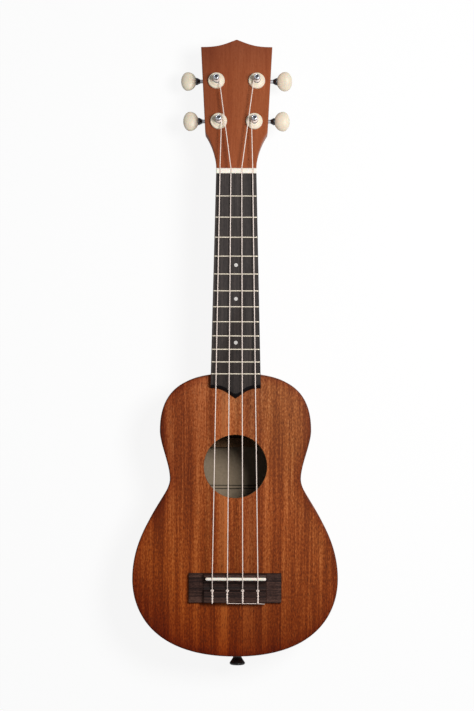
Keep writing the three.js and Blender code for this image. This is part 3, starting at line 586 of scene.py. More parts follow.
# %% [markdown]
# The world is white all round. It is dim as a lamp, brighter in reflections and nearly white to the
# camera, so that metal has something to mirror while the shadows stay. The Light Path node tells these
# three uses apart, where a single strength would serve only one of them.

# %% World
DIM, MIRRORED, TO_CAMERA = 0.19, 0.61, 0.76
world = bpy.data.worlds.new("studio")
bpy.context.scene.world = world
net = Net(world)
rays = net.node("ShaderNodeLightPath").outputs
mirrored = net.math("MAXIMUM", rays["Is Glossy Ray"], rays["Is Transmission Ray"])
strength = net.math("ADD", net.math("MULTIPLY", mirrored, MIRRORED), DIM)
strength = net.math("ADD", net.math("MULTIPLY", rays["Is Camera Ray"], TO_CAMERA), strength)
sky = net.node("ShaderNodeBackground", {"Color": (1, 1, 1), "Strength": strength})
net.node("ShaderNodeOutputWorld", {"Surface": sky.outputs[0]})
print("the world is ready")

# %% [markdown]
# ## Sound box
# A luthier bends the sides round a mould, and the soundboard and the back are glued to them. The mould's
# outline is two mirrored chains of four smooth curves: shoulder, waist, hip and tail. It could be drawn
# as a curve object and filled, but then each plate would get its own points. Here every ring of the
# soundboard, the back and the sides is that one outline, moved inwards by some distance, so they meet
# exactly.


# %% Body outline
def bezier(start, first, second, end, count):
    """A cubic curve: its handles pull it away from the straight line between its ends."""
    t = np.linspace(0, 1, count)[:, None]
    start, first, second, end = (np.asarray(p, float) for p in (start, first, second, end))
    near_start = (1 - t) ** 3 * start + 3 * (1 - t) ** 2 * t * first
    return near_start + 3 * (1 - t) * t**2 * second + t**3 * end


def body_outline():
    """Four curves down the right side and their mirror image up the left, as one closed line."""
    count = 40
    upper, waist, lower = 65.6, 56.8, 89.2
    upper_y, waist_y, lower_y = JOINT_Y - 49, JOINT_Y - 91.3, JOINT_Y - 178
    curves = [
        ((0, JOINT_Y), (32.8, JOINT_Y), (upper, upper_y + 44), (upper, upper_y)),
        ((upper, upper_y), (upper, upper_y - 12.1), (waist, waist_y + 13), (waist, waist_y)),
        ((waist, waist_y), (waist, waist_y - 16.3), (lower, lower_y + 44.7), (lower, lower_y)),
        ((lower, lower_y), (lower, lower_y - 28.4), (71.6, TAIL_Y), (0, TAIL_Y)),
    ]
    right = np.vstack([bezier(*curve, count)[:-1] for curve in curves] + [[0, TAIL_Y]])
    return np.vstack([right, right[-2:0:-1] * [-1, 1]])


EDGE = body_outline()
TRAVEL = np.roll(EDGE, -1, 0) - np.roll(EDGE, 1, 0)
EDGE_OUT = np.stack([-TRAVEL[:, 1], TRAVEL[:, 0]], 1)
EDGE_OUT /= np.linalg.norm(EDGE_OUT, axis=1, keepdims=True)
EDGE_RUN = np.r_[0, np.cumsum(np.linalg.norm(np.diff(EDGE, axis=0), axis=1))]


def edge_ring(inward, height):
    """The outline moved inwards, at one height."""
    flat = EDGE - inward * EDGE_OUT
    return np.column_stack([flat, np.full(len(flat), height)])


def top_edge_y(x):
    """Y of the outline near the neck, for a distance across."""
    shoulder = EDGE[:25]
    return np.interp(np.abs(x), shoulder[:, 0], shoulder[:, 1])


print("outline runs", round(float(EDGE_RUN[-1]), 1), "mm round the body")

# %% [markdown]
# ### Soundboard
# The soundboard is one thin plate with a round hole. A Boolean cut would leave long thin faces round the
# hole that shade badly. Here the table of points is closed both ways, like a flattened tyre: up the wall
# of the hole, out across the face, over the rounded edge and back under.

# %% Soundboard
away = EDGE - SOUNDHOLE
hole_way = away / np.linalg.norm(away, axis=1, keepdims=True)


def hole_ring(radius, height):
    """A circle round the soundhole, with a point on the line to each point of the outline."""
    flat = SOUNDHOLE + radius * hole_way
    return np.column_stack([flat, np.full(len(flat), height)])


LIP, RIM = 0.6, 1.5
UNDERSIDE = BODY_DEPTH - PLATE
turn = np.linspace(0, np.pi / 2, 6)
hole_wall = [hole_ring(SOUNDHOLE_R, z) for z in (UNDERSIDE, 58.6, 59.5)]
hole_lip = [
    hole_ring(SOUNDHOLE_R + LIP * (1 - np.cos(a)), BODY_DEPTH - LIP * (1 - np.sin(a))) for a in turn[1:]
]
face_start, face_end = hole_ring(SOUNDHOLE_R + 0.9, BODY_DEPTH), edge_ring(RIM, BODY_DEPTH)
face = [face_start * (1 - t) + face_end * t for t in (0.0, 0.02, 0.3, 0.55)]
face += [edge_ring(inward, BODY_DEPTH) for inward in (9.0, 5.0, 2.5, 1.6)]
rim_edge = [edge_ring(RIM * (1 - np.sin(a)), BODY_DEPTH - RIM * (1 - np.cos(a))) for a in turn]
under = [edge_ring(inward, UNDERSIDE) for inward in (0.0, 0.4, 12.0)]
under.append(hole_ring(SOUNDHOLE_R + 2, UNDERSIDE))
plate_rings = np.array(hole_wall + hole_lip + face + rim_edge + under)
print("the soundboard's table is", plate_rings.shape[0], "rings of", plate_rings.shape[1], "points")

# %% [markdown]
# The finish is darker in a band near the rim. The rounded rim itself is painted nearly black, as shade on
# the edge. This could be painted on, but the rings already know how far out they lie: each one carries a
# number from 0 to 1 for how near the rim it is, which the finish reads. The wall of the hole gets the
# bare wood, which is darkened as painted shade.

# %% Soundboard finish
inside = np.zeros(len(hole_wall + hole_lip) + 5)
nearness = np.r_[inside, 0.28, 0.5, 0.6, 0.68, np.linspace(0.8, 1, 5), 1, 0, 0, 0]
soundboard = skin("soundboard_plate", plate_rings, wrap=True,
                  attributes={"edge": np.repeat(nearness, len(EDGE))})
settle(soundboard, "instrument", top_wood, "body_wood", "soundboard")
from_hole = np.linalg.norm(face_values(soundboard, "center")[:, :2] - SOUNDHOLE, axis=1)
in_hole = from_hole < SOUNDHOLE_R + 0.22
second_finish(soundboard, bare_wood_darkened_for_shade, in_hole)
print("soundboard has", len(in_hole), "faces,", int(in_hole.sum()), "of them in the hole")

# %% [markdown]
# ### Back and sides
# The back is a plain plate with a rounded outer edge. Each side is a strip bent from the neck to the
# tail. Grain worked out in space would cut straight through the bend, and on the real side it bends too.
# So each point carries a grain value, how far it lies along the strip and up it, and the finish reads
# that value instead of the place in space.

# %% Back plate
BACK_RIM = 1.2
back_rings = [edge_ring(4.0, 0.0)]
back_rings += [edge_ring(BACK_RIM * (1 - np.sin(a)), BACK_RIM * (1 - np.cos(a))) for a in turn]
back_rings += [edge_ring(inward, PLATE) for inward in (0.0, 0.4, 4.0)]
back = skin("back_plate_round", np.array(back_rings))
settle(back, "instrument", back_wood, "body_wood", "back_plate")
print("back has", len(back.data.polygons), "faces")

# %% Sides
half_count = len(EDGE) // 2 + 1
side_rows = {
    "right": np.arange(half_count),
    "left": np.r_[0, np.arange(len(EDGE) - 1, half_count - 2, -1)],
}
outer, inner = 0.02, PLATE
section = np.array([
    [outer, UNDERSIDE], [outer, 40.0], [outer, 20.0], [outer, PLATE], [inner, PLATE], [inner, UNDERSIDE],
])
for side_name, rows in side_rows.items():
    line, out_way = EDGE[rows], EDGE_OUT[rows]
    run = np.r_[0, np.cumsum(np.linalg.norm(np.diff(line, axis=0), axis=1))]
    flat = line[:, None] - section[None, :, :1] * out_way[:, None]
    shape = flat.shape[:2]
    points = np.concatenate([flat, np.broadcast_to(section[None, :, 1:], shape + (1,))], -1)
    along, thick = np.broadcast_to(run[:, None], shape), np.broadcast_to(section[None, :, 0], shape)
    grain = np.stack([points[..., 2], along, thick], -1) * MM
    rim = skin("side_strip_" + side_name, points, attributes={"grain": grain})
    settle(rim, "instrument", rim_wood, "body_wood", "side_" + side_name)
print("each side is bent through", half_count, "stations")

# %% [markdown]
# ### Label
# The label lies on the inside of the back, where it shows through the soundhole. It is a sheet of paper
# whose corners lift a little. Cloth simulation could curl it, but a small wave in its height looks the
# same, and Solidify gives it its thickness.

# %% Label
HALF_WIDE, HALF_LONG, MIDDLE_Y = 35.0, 37.0, 41.0
u, v = np.meshgrid(np.linspace(-1, 1, 25), np.linspace(-1, 1, 27), indexing="ij")
lift = 0.12 + 0.22 * (u**6 + v**6)
sheet_top = np.stack([HALF_WIDE * u, MIDDLE_Y + HALF_LONG * v, PLATE + lift], -1)
label = make_mesh("label_paper_sheet", sheet_top, grid_faces(25, 27, wrap_columns=False))
paper = label.modifiers.new("paper_thickness", "SOLIDIFY")
paper.thickness = 0.1 * MM
settle(label, "instrument", label_paper, "cream_plastic")
print("label is", 2 * HALF_WIDE, "by", 2 * HALF_LONG, "mm")

# %% [markdown]
# ## Neck and headstock
# Neck, heel and headstock are carved from one piece of wood, so they are one skin. A subdivided box
# could be pulled into shape, but its smoothing would eat into the measures. Sections keep them: a flat
# top over a rounded underside. The underside is a superellipse: depth grows as
# (1 - |across| ^ (2 / p)) ^ (p / 2), where p = 1 gives a half ellipse for the neck and a small p gives
# the nearly square section of the headstock. The sections turn with the tilt as they pass the nut.


# %% Section of neck and headstock
COLUMNS = 24
SPREAD = -np.cos(np.linspace(0, np.pi, COLUMNS + 1))
SPREAD[COLUMNS // 2] = 0.0
HEEL_DEPTH, NECK_DEPTH, NUT_DEPTH = 58.0, 15.0, 13.4
HEEL_CUT = 54.0


def neck_ring(half, depth, square, fillet):
    """Across and down distances of one closed section: the top from left to right, then the underside
    back from right to left. The heel is cut flat below."""
    x = half * SPREAD
    power = 1.0 - 0.88 * square
    edge = 2.0 * (1 - square) + 1.0 * square
    curve = np.clip(1 - np.abs(SPREAD) ** (2 / power), 0, 1) ** (power / 2)
    under = np.minimum(edge + (depth - edge) * curve, HEEL_CUT)
    past = np.clip(np.abs(x) - (half - fillet), 0, fillet) / fillet
    top = fillet * (1 - np.sqrt(np.clip(1 - past**2, 0, 1)))
    return np.column_stack([np.r_[x, x[::-1]], np.r_[top, under[::-1]]])


def neck_section(y, half, depth, square=0.0, fillet=0.05, tilt=0.0):
    """A section whose top lies at y on the level of the face, and whose plane leans back by tilt."""
    across, down = neck_ring(half, depth, square, fillet).T
    return np.column_stack([across, y - down * np.sin(tilt), BODY_DEPTH - down * np.cos(tilt)])


print("the neck is", min(HEEL_DEPTH, HEEL_CUT), "mm deep at the heel and", NUT_DEPTH, "mm at the nut")

# %% [markdown]
# The heel is the deep end at the body. Its depth falls as a quarter of an ellipse to the slim neck, and
# just before the nut the sections widen, square off and lean back into the headstock.

# %% Heel and neck
HEEL_FLAT, HEEL_CURVE, NUT_BLEND = 9.0, 30.0, 22.0
THROAT_HALF = 17.5
first = neck_section(0.0, board_half(JOINT_Y), HEEL_DEPTH)
first[:, 1] = top_edge_y(first[:, 0]) + 0.3
rows = [first, neck_section(JOINT_Y + 0.6, board_half(JOINT_Y), HEEL_DEPTH)]
rows += [neck_section(JOINT_Y + y, board_half(JOINT_Y + y), HEEL_DEPTH) for y in (3, 6, HEEL_FLAT)]
for angle in np.linspace(0, np.pi / 2, 17)[1:]:
    y = JOINT_Y + HEEL_FLAT + HEEL_CURVE * (1 - np.cos(angle))
    rows.append(neck_section(y, board_half(y), HEEL_DEPTH - (HEEL_DEPTH - NECK_DEPTH) * np.sin(angle)))
neck_start = JOINT_Y + HEEL_FLAT + HEEL_CURVE
for y in np.linspace(neck_start, NUT_Y - NUT_BLEND, 14)[1:]:
    share = (y - neck_start) / (NUT_Y - 20 - neck_start)
    rows.append(neck_section(y, board_half(y), NECK_DEPTH + (NUT_DEPTH - NECK_DEPTH) * share))
for share in np.linspace(0, 1, 13)[1:]:
    y = NUT_Y - NUT_BLEND + share * (HEAD_START[1] - NUT_Y + NUT_BLEND)
    ease = share**2 * (3 - 2 * share)
    half, depth = np.minimum(board_half(y), THROAT_HALF), NUT_DEPTH - 0.3 * ease
    rows.append(neck_section(y, half, depth, 0.75 * ease, 0.05 + 0.5 * share, 0.75 * TILT * ease))
print("heel and neck have", len(rows), "sections")

# %% [markdown]
# The headstock's sections lie in its own tilted frame. Its sides flare from the throat to a corner and
# then widen evenly to the shoulders. The last three sections bend into its top edge, an ogee curve that
# rises to a point in the middle.

# %% Headstock
CORNER_HALF, SHOULDER_HALF = 27.2, 31.4
CORNER_ALONG, SHOULDER_ALONG, TIP_ALONG = 33.4, 112.0, 118.9


def head_half(along):
    """Half width of the headstock: a circular arc from the throat to the corner, then straight."""
    flare = CORNER_HALF - THROAT_HALF
    radius = (CORNER_ALONG**2 + flare**2) / (2 * flare)
    arc = THROAT_HALF + radius - np.sqrt(radius**2 - np.clip(along, 0, CORNER_ALONG) ** 2)
    share = (along - CORNER_ALONG) / (SHOULDER_ALONG - CORNER_ALONG)
    return np.where(along < CORNER_ALONG, arc, CORNER_HALF + (SHOULDER_HALF - CORNER_HALF) * share)


for along in np.r_[np.linspace(2, CORNER_ALONG, 13), np.linspace(40, 100, 9)]:
    grown = np.clip(along / 14, 0, 1)
    across, down = neck_ring(head_half(along), HEAD_THICK, 0.75 + 0.25 * grown, 0.55 + 0.25 * grown).T
    shear = np.sin(0.25 * TILT * (1 - grown))
    rows.append(on_head(np.column_stack([across, along + down * shear, -down])))
ogee = bezier((SHOULDER_HALF, SHOULDER_ALONG), (14.4, 111.7), (9.0, 115.5), (0.0, TIP_ALONG), 40)[::-1]
across, down = neck_ring(SHOULDER_HALF, HEAD_THICK, 1.0, 0.8).T
top_along = np.interp(np.abs(across), ogee[:, 0], ogee[:, 1])
for share in (0.5, 0.9, 1.0):
    along = 100 + (top_along - 100) * share
    rows.append(on_head(np.column_stack([across * head_half(along) / SHOULDER_HALF, along, -down])))
print("headstock is", 2 * SHOULDER_HALF, "mm wide at its shoulders, and there are", len(rows), "sections")

# %% [markdown]
# The rows are closed at both ends with strips of faces. Sandpaper takes off every sharp edge of the real
# neck. More rows could round them, but a narrow Bevel modifier finds them by their angle.


# %% Neck skin
def soften(piece, width):
    """Rounds each edge that turns by more than 50 degrees, over a small width in millimetres."""
    bevel = piece.modifiers.new("rounded_edges", "BEVEL")
    bevel.width = width * MM
    bevel.segments = 2
    bevel.limit_method = "ANGLE"
    bevel.angle_limit = np.radians(50)


def capped(name, rows):
    """A body through rows whose first half runs across the top and second half back underneath. Strips
    of four-sided faces close both ends."""
    rows = np.array(rows)
    count, columns = rows.shape[:2]
    strip = np.arange(columns // 2 - 1)
    cap = np.stack([strip, columns - 1 - strip, columns - 2 - strip, strip + 1], -1)
    faces = np.vstack([grid_faces(count, columns), cap, cap[:, ::-1] + (count - 1) * columns])
    return face_out(make_mesh(name, rows, faces))


neck = capped("neck_and_headstock", rows)
soften(neck, 0.45)
settle(neck, "instrument", neck_wood, "body_wood", "neck", crease=42)
print("neck has", len(neck.data.polygons), "faces")

# %% [markdown]
# ## Fingerboard
# The fingerboard is a flat board that tapers towards the nut and ends in a shallow curved point on the
# soundboard. Its end is bevelled steeply and coloured nearly black. This is partly a dark end and partly
# painted shade on the steep face. A Bevel modifier would widen the edges of the long sides as well.
# Rings of one outline are stacked upwards instead, and each ring draws its end edge back a little further.

# %% Fingerboard outline
corner_y, point_y = JOINT_Y - 12.6, JOINT_Y - 21.4
corner_half = board_half(corner_y)
corner, handle = (corner_half, corner_y), (corner_half - 12, corner_y + 0.3)
end_curve = bezier(corner, handle, (7, point_y + 4), (0, point_y), 15)
side_y = np.linspace(NUT_Y, corner_y, 30)[:-1]
right_edge = np.vstack([np.column_stack([board_half(side_y), side_y]), end_curve])
board_edge = np.vstack([right_edge, right_edge[-2::-1] * [-1, 1]])
end_share = np.zeros(len(board_edge))
end_share[len(side_y):-len(side_y)] = 1.0
middle_share = 1 - np.abs(board_edge[:, 0]) / corner_half


def board_ring(height, back, inward):
    """The board's outline at one height, its end drawn back and its long sides drawn in."""
    x = board_edge[:, 0] - inward * np.sign(board_edge[:, 0])
    y = board_edge[:, 1] + back * end_share * (1 + 0.35 * middle_share)
    return np.column_stack([x, y, np.full(len(x), height)])


print("fingerboard runs", round(NUT_Y - point_y, 1), "mm")

# %% Fingerboard
levels = [
    (BODY_DEPTH, 0.0, 0.0), (60.6, 0.0, 0.0), (62.2, 0.7, 0.0), (63.8, 1.7, 0.0), (64.7, 2.5, 0.02),
    (FRET_LEVEL, 3.0, 0.3),
]
board = skin("fingerboard_plank", np.array([board_ring(*level) for level in levels]))
settle(board, "instrument", board_wood, "dark_wood", "fingerboard")
normal, middle = face_values(board, "normal"), face_values(board, "center")
# The steep bevel faces are made nearly black, partly as painted shade.
on_bevel = (normal[:, 1] < -0.35) & (normal[:, 2] < 0.97) & (middle[:, 1] < JOINT_Y)
second_finish(board, black_end_and_shade, on_bevel)
print(int(on_bevel.sum()), "faces of the bevel are stained black")

# %% [markdown]
# ### Frets
# A fret is a wire with a domed crown pressed into a sawn slot. Half a cylinder would be near, but its
# ends would be cut off square. This section is half an ellipse, carried across the board, and it sinks
# and narrows at both ends where the file has rounded it.


# %% Frets
def across_rows(x, y, z):
    """A table of points whose rows lie one beside the other across the instrument, each at its own x."""
    return np.stack(np.broadcast_arrays(x[:, None], y, z), -1)


CROWN_HALF, CROWN_HEIGHT, ROOT, END_ROUND = 0.62, 1.0, -0.15, 0.5
dome = np.linspace(0, np.pi, 9)
crown = np.column_stack([CROWN_HALF * np.cos(dome), CROWN_HEIGHT * np.sin(dome)])
crown = np.vstack([[[CROWN_HALF, ROOT]], crown, [[-CROWN_HALF, ROOT]]])
toward_end = np.array([0.975, 0.99, 0.997, 1.0])
across = np.r_[-toward_end[::-1], np.linspace(-0.93, 0.93, 7), toward_end]
for number in range(1, 13):
    half = board_half(fret_y(number)) - 0.4
    x = half * across
    filed = np.clip((np.abs(x) - (half - END_ROUND)) / END_ROUND, 0, 1)
    rise = np.sqrt(1 - 0.96 * filed**2)
    y = fret_y(number) + crown[None, :, 0] * (0.7 + 0.3 * rise[:, None])
    z = FRET_LEVEL + crown[None, :, 1] * rise[:, None]
    wire = skin(f"fret_wire_{number:02d}", across_rows(x, y, z))
    settle(wire, "instrument", fret_metal, "fret_metal", f"fret_{number:02d}")
print("12 frets, the first", round(NUT_Y - fret_y(1), 1), "mm from the nut")

# %% [markdown]
# ### Position dots
# Three small inlaid discs show the player the fifth, seventh and tenth positions. A painted spot would
# have no edge to catch the light. Each is a lathe surface with a very flat dome, set in the middle of
# its space. The Spin tool or a Screw modifier makes such a surface too.


# %% Position dots
def turned(profile, sides=48):
    """A lathe surface: each (radius, height) of the profile sweeps a circle round the axis."""
    profile = np.asarray(profile, float)
    angle = np.linspace(0, 2 * np.pi, sides, endpoint=False)[None, :]
    x = profile[:, :1] * np.cos(angle)
    y = profile[:, :1] * np.sin(angle)
    return np.stack([x, y, np.repeat(profile[:, 1:], sides, 1)], -1)


dot_profile = [
    (0.01, 0.11), (0.7, 0.10), (1.2, 0.08), (1.6, 0.05), (1.64, 0.0), (1.64, -0.3), (0.01, -0.3),
]
for number in (5, 7, 10):
    y = (fret_y(number) + fret_y(number - 1)) / 2
    dot = skin(f"dot_{number:02d}", turned(dot_profile, 28) + [0, y, FRET_LEVEL])
    settle(dot, "instrument", dot_shell, "ivory_plastic")
print("dots at positions 5, 7 and 10")

# %% [markdown]
# ### Nut
# The nut is a bar of ivory-coloured plastic. Four slots set the strings apart. Boolean cuts would leave
# ragged faces on so small a piece. Its upper edge is a function of the place across instead: level, with
# a rounded dip at each string, and rounded ends. Sections along the neck lower that edge a little at the
# back, so that the strings leave it cleanly.

# %% Nut
PLACES = np.array([-1.5, -0.5, 0.5, 1.5])
NUT_SPACING, SADDLE_SPACING = 9.4, 13.1
NUT_STRING_Z, SADDLE_STRING_Z = FRET_LEVEL + 2.2, BODY_DEPTH + 11.0
NUT_TOP, SLOT_HALF, SLOT_DEPTH, NUT_ROUND = 67.6, 0.62, 0.95, 0.7
beside_slot = np.array([-0.72, -0.6, -0.45, 0.45, 0.6, 0.72])
slots = PLACES * NUT_SPACING
x = np.sort(np.r_[np.linspace(-NUT_HALF, NUT_HALF, 71), (slots[:, None] + beside_slot).ravel()])
near = np.min(np.abs(x[:, None] - slots), axis=1)
dip = SLOT_DEPTH * np.clip(1 - (near / SLOT_HALF) ** 2, 0, 1) ** 0.25
past = np.clip((np.abs(x) - (NUT_HALF - NUT_ROUND)) / NUT_ROUND, 0, 1)
end_drop = NUT_ROUND * (1 - np.sqrt(1 - past**2))
nut_rows = []
for along, drop in ((0, 0.45), (0.12, 0.15), (0.45, 0), (2.2, 0), (3.6, 0.15), (4.3, 0.5), (NUT_LENGTH, 1)):
    y = np.full(len(x), NUT_Y + along)
    edge = np.column_stack([x, y, NUT_TOP - drop - dip - end_drop])
    base = np.column_stack([x[::-1], y, np.full(len(x), BODY_DEPTH)])
    nut_rows.append(np.vstack([edge, base]))
nut = capped("nut_bar", nut_rows)
settle(nut, "instrument", ivory, "ivory_plastic", "nut")
print("nut has", len(nut.data.polygons), "faces")

# %% [markdown]
# ## Bridge and saddle
# The bridge is a low rosewood bar with a raised block in the middle. The block holds a slot for the
# saddle, a hollow behind it, and the tie block that the strings pass through. It could be joined from
# boxes, but it is carved from one piece and shows no seams. One section, cut across the block, is
# carried along X, and every height on it is capped by how high the bar stands there: low on the wings,
# high on the block, with a rounded step between.

# %% Bridge
front, back = BRIDGE_FRONT, BRIDGE_BACK
slot_front, slot_back = SADDLE_Y + 1.32, SADDLE_Y - 1.32
hollow_front, tie_front = BRIDGE_FRONT - 7.3, BRIDGE_FRONT - 14.6
SADDLE_FLOOR = 64.2
section = np.array([
    [back, BODY_DEPTH], [back, 62.4], [back, 65.5], [back + 0.25, 67.3], [back + 1.0, 68.0],
    [tie_front - 0.5, 68.0], [tie_front, 67.5], [tie_front + 0.3, 65.0], [tie_front + 1.0, 64.5],
    [hollow_front - 1.0, 64.5], [hollow_front - 0.3, 65.0], [hollow_front, 67.5], [hollow_front + 0.3, 68.0],
    [slot_back - 0.15, 68.0], [slot_back, 67.8], [slot_back, SADDLE_FLOOR],
    [slot_front, SADDLE_FLOOR], [slot_front, 67.8], [slot_front + 0.15, 68.0], [front - 1.2, 68.0],
    [front - 0.4, 67.4], [front, 66.0], [front, 62.4], [front, BODY_DEPTH],
])
print("the section has", len(section), "corners")

# %% [markdown]
# Each station across the bridge holds three numbers: its place, the height that caps the section there,
# and how far the front and back draw in, which rounds the corners seen from above.

# %% Bridge bar
stations = np.array([
    [40.2, 2.4, 0.7], [40.1, 2.9, 0.25], [39.8, 3.25, 0.05], [39.3, 3.4, 0.0], [34.0, 3.4, 0.0],
    [28.2, 3.4, 0.0], [27.5, 3.6, 0.0], [27.25, 4.2, 0.0], [27.15, 5.5, 0.0], [27.05, 6.9, 0.0],
    [26.8, 7.6, 0.0], [26.4, 8.0, 0.0], [20.0, 8.0, 0.0], [10.0, 8.0, 0.0], [0.0, 8.0, 0.0],
])
stations = np.vstack([stations * [-1, 1, 1], stations[-2::-1]])
x, cap_height, shrink = stations[:, 0], stations[:, 1], stations[:, 2]
middle = (front + back) / 2
pull = 1 - shrink / ((front - back) / 2)
y = middle + (section[None, :, 0] - middle) * pull[:, None]
z = np.minimum(section[None, :, 1], BODY_DEPTH + cap_height[:, None])
# Painted shade: the hollow behind the saddle is darkened halfway to black. The tie block is darkened a little
# less.
stain = np.select([section[:, 0] <= tie_front, section[:, 0] < hollow_front + 0.2], [0.35, 0.5], 0.0)
stain = np.where(cap_height[:, None] > 4.5, stain[None, :], 0.0)
bridge = skin("bridge_bar", across_rows(x, y, z), attributes={"stain": stain})
soften(bridge, 0.18)
settle(bridge, "instrument", bridge_wood, "dark_wood", "bridge")
print("bridge is", round(front - back, 1), "mm deep and", 2 * x.max(), "mm wide")

# %% [markdown]
# The saddle is a thin ivory bar, crowned on top and round at both ends seen from above. A bevelled box
# would be crowned along every edge. Here the half thickness and the height shrink as a quarter circle
# over the last millimetre at each end.

# %% Saddle
left, right, half_thick = -25.6, 26.8, 1.25
rounding = half_thick * (1 - np.cos(np.linspace(0, np.pi / 2, 8)))
x = np.r_[left + rounding, np.linspace(left + 2.5, right - 2.5, 9), right - rounding[::-1]]
near_end = np.clip(np.minimum(x - left, right - x) / half_thick, 0, 1)
wide = np.maximum(half_thick * np.sqrt(1 - (1 - near_end) ** 2), 0.02)
arch = np.linspace(0, np.pi, 11)
crest = np.column_stack([-np.cos(arch), 69.55 + 0.95 * np.sin(arch)])
profile = np.vstack([[[-1, SADDLE_FLOOR]], crest, [[1, SADDLE_FLOOR]]])
y = SADDLE_Y + profile[None, :, 0] * wide[:, None]
z = profile[None, :, 1] - 0.5 * (1 - near_end[:, None]) * (profile[None, :, 1] > 69)
saddle = skin("saddle_bar", across_rows(x, y, z))
settle(saddle, "instrument", ivory, "ivory_plastic", "saddle")
print("saddle is", round(right - left, 1), "mm long")

# %% [markdown]
# ## Strings
# Each nylon string is held all the way: it comes through the tie block, climbs over the saddle, runs
# straight to the nut, bends down over it and meets the waist of its tuning post. A curve object with a
# round bevel makes such a tube too. Here the tube follows the same line as a table of points, close
# enough together that each bend is round, so its length can be measured and printed.


# %% Tubes along a line
TUBE_SIDES = 10


def tube(path, radius):
    """A round tube: at each point of the path, a circle stands across the direction of travel."""
    path = np.asarray(path, float)
    travel = np.gradient(path, axis=0)
    travel /= np.linalg.norm(travel, axis=1, keepdims=True)
    first = np.cross(travel, [0.31, 0.17, 0.93])
    first /= np.linalg.norm(first, axis=1, keepdims=True)
    second = np.cross(travel, first)
    angle = np.linspace(0, 2 * np.pi, TUBE_SIDES, endpoint=False)[None, :, None]
    return path[:, None] + radius * (np.cos(angle) * first[:, None] + np.sin(angle) * second[:, None])


def spaced(corners, step):
    """Points every step along a line through the corners."""
    corners = np.asarray(corners, float)
    reach = np.r_[0, np.cumsum(np.linalg.norm(np.diff(corners, axis=0), axis=1))]
    places = np.linspace(0, reach[-1], max(2, int(np.ceil(reach[-1] / step)) + 1))
    return np.stack([np.interp(places, reach, corners[:, axis]) for axis in range(3)], -1)


def rounded_line(corners, step=0.5):
    """Points along a line of corners. Each is the mean of itself and two neighbours on either side, so
    corners come out round."""
    padded = np.pad(spaced(corners, step), ((2, 2), (0, 0)), mode="edge")
    kernel = np.ones(5) / 5
    return np.stack([np.convolve(padded[:, axis], kernel, "valid") for axis in range(3)], -1)


print("tubes can follow a line")

# %% Strings
POSTS = {
    "lower_left": (-15.5, 42.9), "upper_left": (-17.7, 80.2),
    "upper_right": (17.7, 80.2), "lower_right": (15.5, 42.9),
}
WINDING_RADIUS = 2.55
STRING_POST = {"g": "lower_left", "c": "upper_left", "e": "upper_right", "a": "lower_right"}
for (string_name, post), place in zip(STRING_POST.items(), PLACES):
    side, (post_x, along) = np.sign(place), POSTS[post]
    meets = on_head([post_x - side * 2.5, along, 6.0])
    corners = [
        (place * SADDLE_SPACING, BRIDGE_FRONT - 14.4, 65.6),
        (place * SADDLE_SPACING, SADDLE_Y, SADDLE_STRING_Z - 0.1),
        (place * NUT_SPACING, NUT_Y, NUT_STRING_Z),
        (place * NUT_SPACING, NUT_Y + NUT_LENGTH, NUT_STRING_Z),
        meets,
    ]
    line = rounded_line(corners)
    if len(line) % 2:  # every second point is enough, where that keeps both ends
        line = line[::2]
    string = skin("nylon_string_" + string_name, tube(line, STRING_R))
    settle(string, "instrument", nylon, "string_nylon", "string_" + string_name)
    length = np.linalg.norm(np.diff(line, axis=0), axis=1).sum()
    print("string", string_name, "is", round(float(length)), "mm long")

# %% [markdown]
# ### String ends at the bridge
# Each string comes forward out of the tie block, loops up over its front edge, and is twisted round
# itself across the top. A real knot needs a simulation. At this size a twist looks the same: a helix
# whose radius swells and thins, with two and a half turns. The loop is a small ring round the string.
# One long tail lies along the back edge of the bridge.

# %% String ends at the bridge
TIE_LEVEL = 68.75
tie_start, tie_end = tie_front + 0.3, BRIDGE_BACK - 0.35
strand = np.linspace(0, 1, 90)
swing = 0.42 * np.sin(strand * np.pi) ** 0.3
end_dip = 1.3 * np.clip(strand - 0.93, 0, 1) / 0.07
loop_angle = np.linspace(0, 2 * np.pi, 29)
TWISTS = {"g": (2.4, 0.3), "c": (2.1, -0.5), "e": (2.6, 0.1), "a": (2.2, 0.4)}
for (string_name, (twist_turns, wobble)), place in zip(TWISTS.items(), PLACES):
    x0 = place * SADDLE_SPACING
    angle = 2 * np.pi * twist_turns * strand + wobble
    bow = x0 + 0.45 * wobble * np.sin(strand * 3.0)
    y = tie_start + (tie_end - tie_start) * strand
    aside, above = swing * np.cos(angle), 0.36 * np.sin(angle)
    tie_twist = np.column_stack([bow + aside, y, TIE_LEVEL + above - end_dip])
    tie_strand = np.column_stack([bow - aside, y, TIE_LEVEL - above - end_dip])
    loop_y = tie_front + 0.2 + 0.9 * np.sin(loop_angle)
    loop_z = 68.4 + 0.55 * np.sin(loop_angle + 0.6)
    tie_loop = np.column_stack([x0 + np.cos(loop_angle), loop_y, loop_z])
    lines = {"tie_twist_": (tie_twist, 0.42), "tie_strand_": (tie_strand, 0.36), "tie_loop_": (tie_loop, 0.4)}
    for piece_name, (line, radius) in lines.items():
        tie = skin(piece_name + string_name, tube(line, radius))
        settle(tie, "instrument", nylon, "string_nylon")

tail_corners = [
    (-6.6, BRIDGE_BACK + 0.1, 68.0), (-5.4, BRIDGE_BACK - 0.1, 67.1), (6.6, BRIDGE_BACK - 0.2, 67.0),
    (19.6, BRIDGE_BACK - 0.2, 67.1), (26.0, BRIDGE_BACK - 0.5, 67.6),
]
tail = skin("string_tail", tube(rounded_line(tail_corners, 0.6), 0.25))
settle(tail, "instrument", nylon, "string_nylon")
print("four tied ends and one tail")

